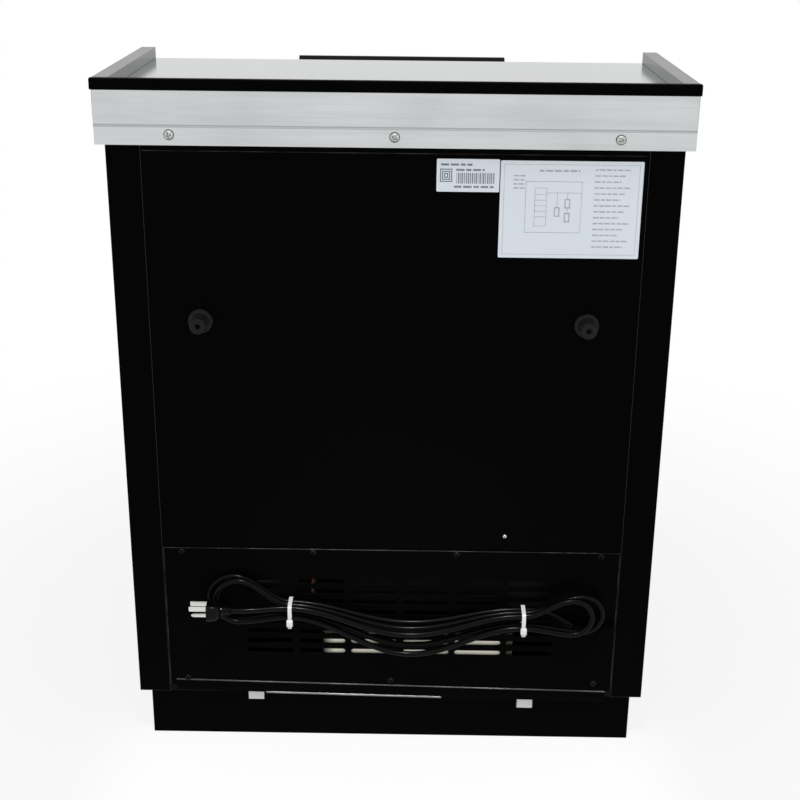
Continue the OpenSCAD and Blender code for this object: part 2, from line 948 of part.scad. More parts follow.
// Condensing set in the machine bay
module compressor() {
    base = z_in + mount_h + foot_t;
    high = min(150, bay_h - base - 22);
    color("#1a1a1c")
        union() {
            translate([compressor_x, compressor_y, base])
                rotate_extrude($fn = round_n)
                    polygon([
                        [0, 0], [compressor_r - 18, 0], [compressor_r - 6, 8], [compressor_r, 24],
                        [compressor_r, high * 0.52], [compressor_r + 3, high * 0.53],
                        [compressor_r + 3, high * 0.57], [compressor_r, high * 0.58],
                        [compressor_r - 4, high * 0.78], [compressor_r - 20, high * 0.93],
                        [compressor_r - 44, high], [0, high]]);
            difference() {
                slab([compressor_x - mount_x - 12, compressor_x + mount_x + 12],
                     [compressor_y - mount_y - 12, compressor_y + mount_y + 12], [base - foot_t, base + 1]);
                for (sx = [-1, 1], sy = [-1, 1])
                    translate([compressor_x + sx * mount_x, compressor_y + sy * mount_y, base - foot_t - 1])
                        bar_z([0, 0, 0], foot_t + 4, mount_stem_d + 1, hidden_n);
            }
            translate([compressor_x, compressor_y - compressor_r, base])
                slab([-24, 24], [-20, 12], [30, 92]);
        }
}

module compressor_mounts() {
    color("#2b2b2d")
        for (sx = [-1, 1], sy = [-1, 1])
            translate([compressor_x + sx * mount_x, compressor_y + sy * mount_y, z_in]) {
                bar_z([0, 0, 0], mount_h - fit, 22, hidden_n);
                bar_z([0, 0, 0], mount_h + foot_t + 2, mount_stem_d, hidden_n);
                bar_z([0, 0, mount_h + foot_t + 1 + fit], 4, 15, hidden_n);
            }
}

module condenser_coil() {
    rows = 4;
    pitch = (condenser_high - condenser_low) / rows;
    color("#2c2e30")
        union() {
            translate([condenser_x, condenser_y, condenser_low])
                linear_extrude(height = condenser_high - condenser_low)
                    fin_comb(condenser_half - 4, condenser_d, 40);
            for (side = [-1, 1])
                slab([condenser_x + side * condenser_half - 6, condenser_x + side * condenser_half + 6],
                     [condenser_y, condenser_y + condenser_d], [z_in, condenser_high + 4]);
            return_bends(condenser_x - condenser_half - 5, condenser_y + condenser_d / 2, rows,
                         condenser_low + pitch / 2, pitch, 180);
        }
}

module fan_shroud() {
    collar_r = fan_r + collar_gap;
    color("#232527")
        union() {
            plate_y(shroud_y, shroud_y + sheet)
                difference() {
                    translate([condenser_x - condenser_half, condenser_low])
                        square([2 * condenser_half, condenser_high - condenser_low]);
                    translate([condenser_x, condenser_z])
                        circle(r = collar_r, $fn = round_n);
                }
            plate_y(shroud_y - 24, shroud_y + sheet / 2)
                translate([condenser_x, condenser_z])
                    difference() {
                        circle(r = collar_r + sheet, $fn = round_n);
                        circle(r = collar_r, $fn = round_n);
                    }
        }
}

module condenser_motor() {
    reach = fan_r + collar_gap + 10;
    motor_back = motor_front + motor_len;
    color("#3b3d42")
        translate([condenser_x, 0, condenser_z])
            union() {
                bar_y([0, motor_front, 0], motor_len, 62);
                bar_y([0, motor_back - 1, 0], fan_front + hub_len - motor_back, shaft_d);
                slab([-reach, reach], [motor_front + 10, motor_front + 16], [-7, 7]);
                for (side = [-1, 1])
                    slab([side * reach - 4, side * reach + 4], [motor_front + 10, shroud_y - fit], [-7, 7]);
            }
}

module condenser_fan() {
    color("#a9adb0")
        fan_wheel([condenser_x, fan_front, condenser_z], fan_r, 5);
}

// Copper lines: round numbers measured from the pieces that they join
drier_x = half_w - 195;
drier_y = y_back - 50;
drier_z = bay_h - 34;
drier_len = 90;
line_d = 6.4;
discharge_top = z_in + mount_h + foot_t + min(150, bay_h - z_in - mount_h - foot_t - 22) * 0.7;

discharge_line = [
    [compressor_x - compressor_r - 3.4, compressor_y, discharge_top],
    [compressor_x - compressor_r - 16, compressor_y, discharge_top],
    [compressor_x - compressor_r - 30, compressor_y + 20, discharge_top + 12],
    [compressor_x - compressor_r - 30, condenser_y - 24, discharge_top + 20],
    [condenser_x + condenser_half + 32, condenser_y + 12, condenser_high - 20],
    [condenser_x + condenser_half + 18, condenser_y + 19, condenser_high - 20],
    [condenser_x + condenser_half + 12, condenser_y + 19, condenser_high - 20],
    [condenser_x + condenser_half + 6.8, condenser_y + 19, condenser_high - 20]];

liquid_line = [
    [condenser_x + condenser_half + 6.8, condenser_y + 19, condenser_low + 14],
    [condenser_x + condenser_half + 13, condenser_y + 19, condenser_low + 14],
    [condenser_x + condenser_half + 20, condenser_y + 19, condenser_low + 14],
    [condenser_x + condenser_half + 34, condenser_y + 28, condenser_low + 40],
    [drier_x - 14, drier_y, drier_z - 50],
    [drier_x - 20, drier_y, drier_z - 12],
    [drier_x - 12, drier_y, drier_z],
    [drier_x - 6, drier_y, drier_z],
    [drier_x - 0.6, drier_y, drier_z]];

suction_line = [
    [compressor_x, compressor_y + compressor_r + 3.4, discharge_top - 26],
    [compressor_x, compressor_y + compressor_r + 14, discharge_top - 26],
    [compressor_x + 10, compressor_y + compressor_r + 26, discharge_top - 10],
    [compressor_x + 16, compressor_y + compressor_r + 28, discharge_top + 14],
    [compressor_x + 16, compressor_y + compressor_r + 28, bay_h - 0.4]];

module refrigerant_lines() {
    color("#b5673c")
        for (route = [discharge_line, liquid_line, suction_line])
            tube(smooth_line(route, 4), line_d, 8);
}

module filter_drier() {
    r = 10;
    color("#b98a3a")
        translate([drier_x, drier_y, drier_z])
            rotate([0, 90, 0])
                rotate_extrude($fn = 32)
                    polygon([[0, 0], [4, 0], [4, 8], [r, 18], [r, drier_len - 18], [4, drier_len - 8],
                             [4, drier_len], [0, drier_len]]);
}

// A tray whose rear wall flares out over the base pan's upstand, close behind the lowest slots
module tray_profile(inset, low, high) {
    flare = plinth_h + upstand_h + 2;
    foot = y_back - 8;
    polygon([
        [y_back - 44 + inset, low], [foot - inset, low], [foot - inset, flare],
        [panel_y - fit - inset, flare + 5], [panel_y - fit - inset, high], [y_back - 44 + inset, high]]);
}

module condensate_tray() {
    tray_t = 2;
    floor_h = 6;
    high = slot_low + 2 * slot_pitch_z - 1;
    x = [slot_middle - 135, slot_middle + 92];
    color("#e9e2cf")
        difference() {
            along_x(x[0], x[1])
                tray_profile(0, z_in, high);
            along_x(x[0] + tray_t, x[1] - tray_t)
                tray_profile(tray_t, z_in + floor_h, high + 1);
        }
}

// Mains cord, put away as a tied hank
function ease(t) = (1 - cos(180 * t)) / 2;

function hump(t) = pow(sin(180 * t), 2);

// One run between the ties, right to left or back, sagging in the middle and climbing a layer if asked
function run_between(from, to, side, sag, layer, climb) = [
    for (i = [0:run_rings])
        let (t = i / run_rings, a = tie_x[from], b = tie_x[to])
        [a + (b - a) * t,
         hank_y + (layer + climb * ease(t)) * hank_step,
         tie_z[from] + (tie_z[to] - tie_z[from]) * t + side * waist - sag * hump(t)]];

// One end loop from the tie's upper place round to its lower place, way is +1 on the left of the photo
function end_loop(tie, way, middle_z, radius, reach, layer) = concat(
    [for (i = [1:climb_rings])
        let (t = i / climb_rings)
        [tie_x[tie] + way * reach * t, hank_y + layer * hank_step,
         tie_z[tie] + waist + (middle_z + radius - tie_z[tie] - waist) * ease(t)]],
    [for (i = [1:bend_rings - 1])
        let (a = 90 - 180 * i / bend_rings)
        [tie_x[tie] + way * (reach + radius * cos(a)), hank_y + layer * hank_step,
         middle_z + radius * sin(a)]],
    [for (i = [0:climb_rings - 1])
        let (t = 1 - i / climb_rings)
        [tie_x[tie] + way * reach * t, hank_y + layer * hank_step,
         tie_z[tie] - waist + (middle_z - radius - tie_z[tie] + waist) * ease(t)]]);

function backwards(p) = [for (i = [len(p) - 1:-1:0]) p[i]];

plug_lead = [
    for (i = [1:8])
        let (t = i / 8)
        [tie_x[1] + (plug_x - tie_x[1]) * t,
         hank_y + 2 * hank_step + (plug_y - hank_y - 2 * hank_step) * ease(min(1, t / 0.85)),
         tie_z[1] + waist + (plug_z - tie_z[1] - waist) * ease(min(1, t / 0.85))]];

hank_path = concat(
    [hank_start],
    run_between(0, 1, 1, upper_sag[0], 0, 0),
    end_loop(1, 1, left_loop_z, left_r[0], left_reach[0], 0),
    run_between(1, 0, -1, lower_sag[0], 0, 1),
    backwards(end_loop(0, -1, right_loop_z, right_r[0], right_reach[0], 1)),
    run_between(0, 1, 1, upper_sag[1], 1, 0),
    end_loop(1, 1, left_loop_z, left_r[1], left_reach[1], 1),
    run_between(1, 0, -1, lower_sag[1], 1, 1),
    backwards(end_loop(0, -1, right_loop_z, right_r[1], right_reach[1], 2)),
    run_between(0, 1, 1, upper_sag[2], 2, 0),
    plug_lead);

lead_path = [
    for (i = [0:10])
        let (t = i / 10)
        [lead_start[0] + (lead_end[0] - lead_start[0]) * t, hank_y,
         lead_start[2] + (lead_end[2] - lead_start[2]) * ease(max(0, min(1, (t - 0.1) / 0.8)))]];

function added(v) = v * [for (part = v) 1];

function path_length(p) = added([for (i = [1:len(p) - 1]) norm(p[i] - p[i - 1])]);

// Least gap between parts of the hank that are more than six rings apart along it
hank_gap = min([for (i = [0:len(hank_path) - 8]) for (j = [i + 7:len(hank_path) - 1])
    norm(hank_path[i] - hank_path[j])]) - cord_d;
echo(hank_gap = hank_gap, rings = len(hank_path),
     cord_length = path_length(hank_path) + path_length(lead_path));

module cord_gland() {
    color("#171718")
        union() {
            slab([gland_x - gland_w / 2, gland_x + gland_w / 2], [y_back + fit, hank_y + cord_r + 3],
                 [gland_z - gland_h / 2, gland_z + gland_h / 2]);
            bar_y([gland_x, y_back - 9, gland_z], 9 + 2 * fit, gland_shank_d);
        }
}

module cord_lead() {
    color("#19191a")
        tube(lead_path, cord_d, 12);
}

module cord_hank() {
    color("#19191a")
        tube(hank_path, cord_d, 6);
}

module cord_plug() {
    face = plug_x + neck_len + plug_len;
    blade = [20, 1.5, 6.4];
    blade_gap = 12.7;
    blade_z = plug_z + 5.2;
    pin_d = 4.8;
    pin_len = 19;
    pin_z = plug_z - 6.7;
    color("#1a1a1b") {
        bar_x([plug_x, plug_y, plug_z], neck_len + 1, cord_d + 4);
        slab([plug_x + neck_len, face], [plug_y - plug_w / 2, plug_y + plug_w / 2],
             [plug_z - plug_h / 2, plug_z + plug_h / 2]);
    }
    color("#d6c9a0") {
        for (side = [-1, 1])
            translate([face - 1, plug_y + side * blade_gap / 2 - blade[1] / 2, blade_z - blade[2] / 2])
                cube(blade + [1, 0, 0]);
        bar_x([face - 1, plug_y, pin_z], pin_len + 1, pin_d);
    }
}

module cord_ties() {
    inner_z = waist + cord_r + fit;
    y_in = y_back - sheet - fit;
    y_out = hank_y + 2 * hank_step + cord_r + fit;
    half = tie_w / 2;
    lock = [7.2, 4, 8];
    tail_y = y_out + tie_t + 1;
    color("#f2f2ee")
        for (i = [0, 1])
            translate([tie_x[i], 0, tie_z[i]])
                union() {
                    difference() {
                        slab([-half, half], [y_in - tie_t, y_out + tie_t],
                             [-inner_z - tie_t, inner_z + tie_t]);
                        slab([-tie_w, tie_w], [y_in, y_out], [-inner_z, inner_z]);
                    }
                    slab([-lock[0] / 2, lock[0] / 2], [y_out + tie_t / 2, y_out + tie_t + lock[1]],
                         [-inner_z, lock[2] - inner_z]);
                    slab([-half, half], [tail_y, tail_y + 1.2], [-inner_z - 3, 1 - inner_z]);
                }
}

plinth_frame();
spacer_pads();
base_pan();
side_panel_left();
side_panel_right();
front_panel();
back_panel();
machine_cover();
cover_screws();
bright_screws();
wall_bumpers();
shelf_tray();
shelf_cheek_left();
shelf_cheek_right();
rear_apron();
rear_edge_strip();
shelf_bracket_left();
shelf_bracket_right();
shelf_rear_rail();
deck_frame();
rear_deck();
lid_track_left();
lid_track_right();
lid_skin();
lid_foam();
lid_liner();
lid_gasket();
lid_glides();
lid_handle();
well_liner();
foam_floor();
foam_front();
foam_left();
foam_right();
foam_rear();
foam_step();
bay_sheet();
floor_rack();
divider_left();
divider_right();
evaporator_cover();
evaporator_coil();
evaporator_motor();
evaporator_fan();
thermostat();
thermostat_knob();
compressor();
compressor_mounts();
condenser_coil();
fan_shroud();
condenser_motor();
condenser_fan();
filter_drier();
refrigerant_lines();
condensate_tray();
cord_gland();
cord_lead();
cord_hank();
cord_plug();
cord_ties();
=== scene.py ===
import json
import math

import bmesh
import bpy
from bpy.props import FloatProperty, FloatVectorProperty, PointerProperty
from mathutils import Matrix, Vector


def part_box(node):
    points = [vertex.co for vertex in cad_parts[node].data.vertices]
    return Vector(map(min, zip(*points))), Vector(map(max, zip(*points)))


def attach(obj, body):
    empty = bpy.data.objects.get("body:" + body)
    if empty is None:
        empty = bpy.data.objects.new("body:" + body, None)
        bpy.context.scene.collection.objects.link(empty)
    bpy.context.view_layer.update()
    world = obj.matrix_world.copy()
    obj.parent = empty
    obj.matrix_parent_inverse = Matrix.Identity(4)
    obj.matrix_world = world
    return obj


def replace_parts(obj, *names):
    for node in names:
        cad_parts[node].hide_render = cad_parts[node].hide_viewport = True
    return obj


bl_info = {
    "name": "Under-counter Cooler",
    "version": (1, 0, 0),
    "blender": (4, 5, 0),
    "location": "View3D > Sidebar > Cooler",
    "description": "Finishes, cord, labels and stage of a top-opening under-counter cooler",
    "category": "Object",
}

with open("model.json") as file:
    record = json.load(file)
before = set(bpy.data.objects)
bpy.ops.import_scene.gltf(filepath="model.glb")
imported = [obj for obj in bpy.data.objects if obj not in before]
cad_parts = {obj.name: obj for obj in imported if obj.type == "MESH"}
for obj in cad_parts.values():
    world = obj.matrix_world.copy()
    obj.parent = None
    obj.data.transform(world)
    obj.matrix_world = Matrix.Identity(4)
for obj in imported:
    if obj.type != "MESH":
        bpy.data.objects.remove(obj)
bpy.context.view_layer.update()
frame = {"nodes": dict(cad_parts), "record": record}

MM = 0.001
NODES = frame["nodes"]
SLOT_OF = {part["node"]: part["material_slot"] for part in frame["record"]["subparts"]}

# Places that the drawn pieces take from the model
COVER_LOW, COVER_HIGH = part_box("machine_cover")
GLAND_LOW, GLAND_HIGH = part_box("cord_gland")
EVAPORATOR_LOW, EVAPORATOR_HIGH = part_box("evaporator_cover")
# Outer faces of the machine cover and of the back panel above it
BACK_FACE = COVER_HIGH.y
PANEL_FACE = 326.6 * MM


# Properties


def number_property(name, description, default, unit="LENGTH"):
    return FloatProperty(name=name, description=description, default=default, unit=unit)


def colour_property(name, description, default):
    return FloatVectorProperty(name=name, description=description, default=default, subtype="COLOR")


class CoolerSizes(bpy.types.PropertyGroup):
    """Sizes of the drawn pieces"""

    cord_diameter: number_property("Cord", "Diameter of the mains cord", 7 * MM)
    label_thickness: number_property("Label", "Thickness of the rear labels", 0.3 * MM)
    guard_wire: number_property("Guard wire", "Diameter of the fan guard's wire", 2.4 * MM)
    sheet_edge: number_property("Sheet edge", "Rounding of the folded sheets' edges", 0.5 * MM)


class CoolerColours(bpy.types.PropertyGroup):
    """Main colours of the finishes"""

    enamel: colour_property("Enamel", "Black coat of the cabinet", (0.0008, 0.0008, 0.001))
    steel: colour_property("Stainless", "Brushed stainless steel", (0.61, 0.627, 0.632))
    cord: colour_property("Cord", "Jacket of the mains cord", (0.0012, 0.0012, 0.0014))
    paper: colour_property("Label", "Paper of the rear labels", (0.81, 0.875, 0.94))


class CoolerStage(bpy.types.PropertyGroup):
    """Camera and light"""

    camera_place: FloatVectorProperty(
        name="Camera", description="Where the camera stands", subtype="TRANSLATION",
        default=(-0.0209, 1.7723, 0.9902))
    camera_lens: number_property("Lens", "Focal length in millimetres", 61.94, "NONE")
    ambient: number_property("Ambient", "Strength of the even light", 0.78, "NONE")
    key_power: number_property("Key", "Power of the main lamp", 8.5, "POWER")
    fill_power: number_property("Fill", "Power of the side lamp", 3.0, "POWER")
    spot_power: number_property("Spot", "Power of the lamp on the machine cover", 70.0, "POWER")


def set_all(thing, **settings):
    """Set several of a thing's values and hand it back."""
    for name, value in settings.items():
        setattr(thing, name, value)
    return thing


# Shader nodes


class Wiring:
    """Short ways to add nodes to an empty tree and join them."""

    def __init__(self, tree):
        self.tree = tree
        tree.nodes.clear()

    def join(self, source, target):
        """Feed an input from another node's output, or set it to a plain value."""
        if isinstance(source, bpy.types.NodeSocket):
            self.tree.links.new(source, target)
        else:
            target.default_value = source

    def add(self, kind, values=None, **settings):
        """A new shader node, whose inputs are given by name or number."""
        node = set_all(self.tree.nodes.new("ShaderNode" + kind), **settings)
        for name, value in (values or {}).items():
            self.join(value, node.inputs[name])
        return node

    def math(self, operation, *values):
        return self.add("Math", dict(enumerate(values)), operation=operation).outputs["Value"]

    def noise(self, vector, scale, detail, rough=0.5):
        parts = {"Vector": vector, "Scale": scale, "Detail": detail, "Roughness": rough}
        return self.add("TexNoise", parts).outputs["Fac"]

    def axes(self, vector):
        return self.add("SeparateXYZ", {"Vector": vector}).outputs

    def ramp(self, value, low, high, start=0.0, end=1.0, kind="LINEAR"):
        """A value carried from the range between start and end to the range between low and high."""
        parts = {"Value": value, "From Min": start, "From Max": end, "To Min": low, "To Max": high}
        return self.add("MapRange", parts, interpolation_type=kind).outputs["Result"]

    def blend(self, mask, *colours):
        """A colour that goes from the first to the second with the mask."""
        node = self.add("Mix", {"Factor": mask}, data_type="RGBA")
        for name, colour in zip(("A_Color", "B_Color"), colours):
            socket = next(socket for socket in node.inputs if socket.identifier == name)
            self.join((*colour, 1) if isinstance(colour, tuple) else colour, socket)
        return next(socket for socket in node.outputs if socket.type == "RGBA")

    def mix(self, share, first, second):
        return self.add("MixShader", {0: share, 1: first, 2: second}).outputs["Shader"]


GROUPS = {}


def shader_group(name, title, size, *outputs):
    """An empty node group that takes a place and a size: its wiring, its inputs and its outputs."""
    group = GROUPS[name] = bpy.data.node_groups.new(title, "ShaderNodeTree")
    size_kind = "Vector" if size == "Stretch" else "Float"
    sockets = [("Vector", "INPUT", "Vector"), (size, "INPUT", size_kind)]
    for socket, way, kind in sockets + [(output, "OUTPUT", "Float") for output in outputs]:
        group.interface.new_socket(name=socket, in_out=way, socket_type="NodeSocket" + kind)
    wiring = Wiring(group)
    return wiring, group.nodes.new("NodeGroupInput").outputs, group.nodes.new("NodeGroupOutput").inputs


def make_streak():
    """Long fine lines left by brushing, with broad bands and clouds under them."""
    wiring, start, end = shader_group("streak", "Brushed streaks", "Stretch", "Shade", "Lines")
    parts = {0: start["Vector"], 1: start["Stretch"]}
    stretched = wiring.add("VectorMath", parts, operation="MULTIPLY").outputs["Vector"]
    lines = wiring.noise(stretched, 1.0, 4.0)
    bands = wiring.noise(stretched, 0.2, 3.0)
    clouds = wiring.noise(start["Vector"], 9.0, 2.0)
    line_share, broad_share = 0.2, 0.4
    broad = wiring.math("MULTIPLY", wiring.math("ADD", bands, clouds), broad_share)
    wiring.join(wiring.math("MULTIPLY_ADD", lines, line_share, broad), end["Shade"])
    wiring.join(lines, end["Lines"])


def make_smudge():
    """Soft patches left by handling and wiping."""
    wiring, start, end = shader_group("smudge", "Handling smudges", "Scale", "Mask")
    patches = wiring.noise(start["Vector"], start["Scale"], 5.0, 0.62)
    clear_below, full_above = 0.38, 0.72
    wiring.join(wiring.ramp(patches, 0.0, 1.0, clear_below, full_above, "SMOOTHSTEP"), end["Mask"])


def make_grain():
    """Fine pebbled texture of powder coat, rubber and moulded plastic."""
    wiring, start, end = shader_group("grain", "Fine grain", "Scale", "Height")
    wiring.join(wiring.noise(start["Vector"], start["Scale"], 2.0), end["Height"])


def make_spangle():
    """Flat crystal patches of zinc, or the cells of an embossed sheet."""
    wiring, start, end = shader_group("spangle", "Crystal cells", "Scale", "Shade", "Height")
    parts = {"Vector": start["Vector"], "Scale": start["Scale"]}
    cells = wiring.add("TexVoronoi", parts).outputs
    shades = wiring.add("SeparateColor", {"Color": cells["Color"]}).outputs
    wiring.join(shades["Red"], end["Shade"])
    wiring.join(cells["Distance"], end["Height"])


# Finishes

FINISHES = {}


class Finish(Wiring):
    """A material: its wiring, its shader's inputs and the object's own coordinates to draw on."""

    def __init__(self, name, metal=0.0, shine=0.5, sheen=0.0):
        material = FINISHES[name] = bpy.data.materials.new(name)
        material.use_nodes = True
        super().__init__(material.node_tree)
        parts = {"Metallic": metal, "Specular IOR Level": shine, "Sheen Weight": sheen}
        shader = self.add("BsdfPrincipled", parts)
        self.add("OutputMaterial", {"Surface": shader.outputs["BSDF"]})
        self.shader = shader.inputs
        self.place = self.add("TexCoord").outputs["Object"]

    def effect(self, name, **values):
        """The outputs of a shared group with its own values."""
        parts = {"Vector": self.place, **values}
        return self.add("Group", parts, node_tree=GROUPS[name]).outputs

    def surface(self, tone, mask, rough):
        """Set the colour, and a roughness that follows a mask between two values."""
        self.join(tone, self.shader["Base Color"])
        self.join(self.ramp(mask, *rough), self.shader["Roughness"])

    def bump(self, height, depth):
        bump = self.add("Bump", {"Distance": depth, "Height": height})
        self.join(bump.outputs["Normal"], self.shader["Normal"])


def shaded(colour, share):
    return tuple(min(1.0, part * share) for part in colour)


def lacquer_face(finish, mask, axis, reach):
    """A satin coat, wiped unevenly, on a panel's outer face: further out than reach along an axis."""
    outer = finish.math("GREATER_THAN", finish.math("ABSOLUTE", finish.axes(finish.place)[axis]), reach)
    thin, thick = 0.16, 0.2
    weight = finish.math("MULTIPLY", outer, finish.ramp(mask, thin, thick))
    finish.join(weight, finish.shader["Coat Weight"])
    finish.join(0.22, finish.shader["Coat Roughness"])


def coated(name, colour, rough, shine=0.5, grain=700.0, depth=0.03 * MM, patch=7.0, lift=1.5, metal=0.0,
           sheen=0.0, lacquer=None):
    """Paint, plastic or rubber: smudges over a fine grain, and a lacquered outer face if asked."""
    finish = Finish(name, metal, shine, sheen)
    mask = finish.effect("smudge", Scale=patch)["Mask"]
    finish.surface(finish.blend(mask, colour, shaded(colour, lift)), mask, rough)
    finish.bump(finish.effect("grain", Scale=grain)["Height"], depth)
    if lacquer:
        lacquer_face(finish, mask, *lacquer)


def shade_painted_tray(name, colour, shade_colour, rough, wall_y, fades):
    """Pale plastic in its own colour on its rear wall, with shade painted near black inside, on the rim and
    at both ends.
    """
    finish = Finish(name)
    mask = finish.effect("smudge", Scale=7.0)["Mask"]
    axes = finish.axes(finish.place)
    # Painted shade: near black beyond the rear wall's face, fading in at both ends and along the rim
    painted_shade = finish.math("LESS_THAN", axes["Y"], wall_y)
    for axis, start, end in fades:
        painted_shade = finish.math("MAXIMUM", painted_shade, finish.ramp(axes[axis], 0.0, 1.0, start, end))
    clean = finish.blend(mask, colour, shaded(colour, 1.05))
    finish.surface(finish.blend(painted_shade, clean, shade_colour), mask, rough)


def brushed(name, colour, rough, stretch, depth=0.012 * MM, contrast=0.82, crease=None):
    """Metal with streaks along its brushing direction, with shade painted darker into a pressed crease if it
    has one.
    """
    finish = Finish(name, metal=1.0)
    streaks = finish.effect("streak", Stretch=stretch)
    tone = finish.blend(streaks["Shade"], shaded(colour, contrast), shaded(colour, 2 - contrast))
    if crease:
        # Painted shade: the colour darkened within the crease's band
        crease_shade = finish.math("COMPARE", finish.axes(finish.place)["Z"], *crease)
        tone = finish.blend(crease_shade, tone, shaded(colour, CREASE_SHADE_SHARE))
    finish.surface(tone, streaks["Shade"], rough)
    finish.bump(streaks["Lines"], depth)


def worn(name, colour, metal, least, patch=16.0, rough=(0.3, 0.4)):
    """A painted edge, rubbed through to the metal in stretches and by a least share elsewhere."""
    finish = Finish(name, shine=0.1)
    mask = finish.effect("smudge", Scale=patch)["Mask"]
    bare = finish.ramp(mask, least, 1.0)
    finish.surface(finish.blend(bare, colour, metal), mask, rough)
    finish.join(bare, finish.shader["Metallic"])


def crystalline(name, colour, rough, scale, depth):
    """Zinc spangle or embossed sheet."""
    finish = Finish(name, metal=0.9)
    cells = finish.effect("spangle", Scale=scale)
    darkest, palest = 0.8, 1.15
    tone = finish.blend(cells["Shade"], shaded(colour, darkest), shaded(colour, palest))
    finish.surface(tone, cells["Shade"], rough)
    finish.bump(cells["Height"], depth)


# How a brushed finish is stretched, by the direction of its lines
ALONG_X = (25.0, 700.0, 700.0)
ALONG_Y = (700.0, 25.0, 700.0)
ALONG_Z = (700.0, 700.0, 25.0)
# The crease pressed along the rear apron: its middle height, its half width, and the share of the colour
# kept where shade is painted into it
APRON_CREASE = (752 * MM, 1.55 * MM)
CREASE_SHADE_SHARE = 0.7
# The drip tray's rear wall, and where its painted shade begins and is full along an axis: two ends and the
# rim
TRAY_WALL = 324.8 * MM
TRAY_SHADE_FADES = (("X", 68 * MM, 80 * MM), ("X", -134 * MM, -140 * MM), ("Z", 144 * MM, 148.5 * MM))
# Outer faces of the panels, just inside their outermost layer
SIDE_FACE = ("X", 304.5 * MM)
FRONT_FACE = ("Y", 349.5 * MM)


def make_finishes(colours):
    """Every finish, by the name of its material slot or of its piece."""
    for make_group in (make_streak, make_smudge, make_grain, make_spangle):
        make_group()
    enamel = tuple(colours.enamel)
    steel = tuple(colours.steel)
    black = (0.0014, 0.0014, 0.0015)
    under_coat = shaded(enamel, 3)
    coat = {"colour": enamel, "rough": (0.38, 0.42), "shine": 0.016, "lift": 1.3, "patch": 5.0}
    apron = {"colour": steel, "rough": (0.26, 0.42), "stretch": ALONG_X, "contrast": 0.6}
    coated("enamel", **coat)
    coated("enamel_side", **coat, lacquer=SIDE_FACE)
    coated("enamel_front", **coat, lacquer=FRONT_FACE)
    coated("enamel_edge", shaded(enamel, 4), (0.2, 0.34), shine=0.35, patch=14.0)
    worn("worn_hem", under_coat, shaded(steel, 0.25), 0.3)
    worn("worn_lip_and_highlight", under_coat, shaded(steel, 0.5), 0.5)
    worn("worn_edge", under_coat, shaded(steel, 0.09), 0.0, 30.0)
    coated("dark_steel", under_coat, (0.4, 0.55), shine=0.06)
    brushed("stainless", **apron)
    brushed("stainless_shaded_crease", **apron, crease=APRON_CREASE)
    # The shelf cheeks: the same stainless at 0.24 of its colour, a shaded copy that paints their shade
    brushed("stainless_side_shaded", shaded(steel, 0.24), (0.24, 0.38), ALONG_Y)
    brushed("stainless_polished", shaded(steel, 0.61), (0.1, 0.2), ALONG_X, depth=0.004 * MM, contrast=0.75)
    crystalline("galvanised", (0.52, 0.54, 0.55), (0.3, 0.5), 110.0, 0.02 * MM)
    brushed("bright_screw", (0.5, 0.5, 0.49), (0.08, 0.16), (300.0, 300.0, 300.0))
    coated("black_screw", shaded(black, 1.5), (0.3, 0.45), shine=0.1, grain=1500.0)
    coated("black_plastic", black, (0.4, 0.55), shine=0.008, grain=1400.0)
    coated("gloss_black", black, (0.12, 0.22), shine=0.1, depth=0.006 * MM)
    coated("white_plastic", (0.62, 0.63, 0.62), (0.38, 0.5), lift=1.04, depth=0.01 * MM)
    shade_painted_tray("cream_plastic", (0.82, 0.79, 0.66), (0.02, 0.018, 0.012), (0.4, 0.55), TRAY_WALL,
                 TRAY_SHADE_FADES)
    coated("foam", (0.78, 0.66, 0.36), (0.85, 0.95), shine=0.1, grain=380.0, depth=0.5 * MM, lift=1.08)
    crystalline("liner", (0.62, 0.64, 0.64), (0.34, 0.46), 190.0, 0.12 * MM)
    coated("rubber", (0.005, 0.005, 0.0053), (0.26, 0.34), shine=0.14, grain=1100.0, sheen=0.05)
    coated("cord_rubber", tuple(colours.cord), (0.2, 0.27), shine=0.075, grain=900.0, depth=0.004 * MM)
    coated("coated_wire", (0.72, 0.73, 0.72), (0.25, 0.38), lift=1.05, depth=0.01 * MM)
    brushed("fins", (0.5, 0.52, 0.53), (0.3, 0.45), ALONG_Z)
    brushed("dark_fins", (0.02, 0.021, 0.022), (0.4, 0.55), ALONG_Z)
    brushed("copper", (0.34, 0.17, 0.1), (0.3, 0.45), (60.0, 60.0, 60.0))
    coated("machine_black", (0.018, 0.018, 0.02), (0.28, 0.4), grain=500.0, depth=0.05 * MM)
    coated("motor", (0.11, 0.115, 0.12), (0.4, 0.55), metal=0.7)
    brushed("fan_blade", (0.52, 0.54, 0.55), (0.28, 0.4), ALONG_X)
    coated("label_paper", tuple(colours.paper), (0.4, 0.5), grain=900.0, depth=0.008 * MM, lift=1.03)
    coated("label_ink", (0.2, 0.21, 0.25), (0.5, 0.6), patch=60.0)
    coated("label_faint_ink", (0.4, 0.43, 0.47), (0.5, 0.6), lift=1.4, patch=60.0)
    brushed("plug_contact", (0.68, 0.67, 0.61), (0.14, 0.3), (180.0, 400.0, 400.0), contrast=0.45)
    # Sheets with the plain enamel go by the name of their slot
    FINISHES["black_steel"] = FINISHES["enamel"]


# Meshes

MERGE_DISTANCE = 1e-6


def link(name, data):
    piece = bpy.data.objects.new(name, data)
    bpy.context.scene.collection.objects.link(piece)
    return piece


def finish_piece(name, data, finish, body="cabinet"):
    """An object with its finish, riding on a body."""
    data.materials.append(FINISHES[finish])
    piece = link(name, data)
    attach(piece, body)
    return piece


def close_shape(shape):
    """Merge doubled points and turn every face outwards."""
    bmesh.ops.remove_doubles(shape, verts=shape.verts, dist=MERGE_DISTANCE)
    bmesh.ops.recalc_face_normals(shape, faces=shape.faces)


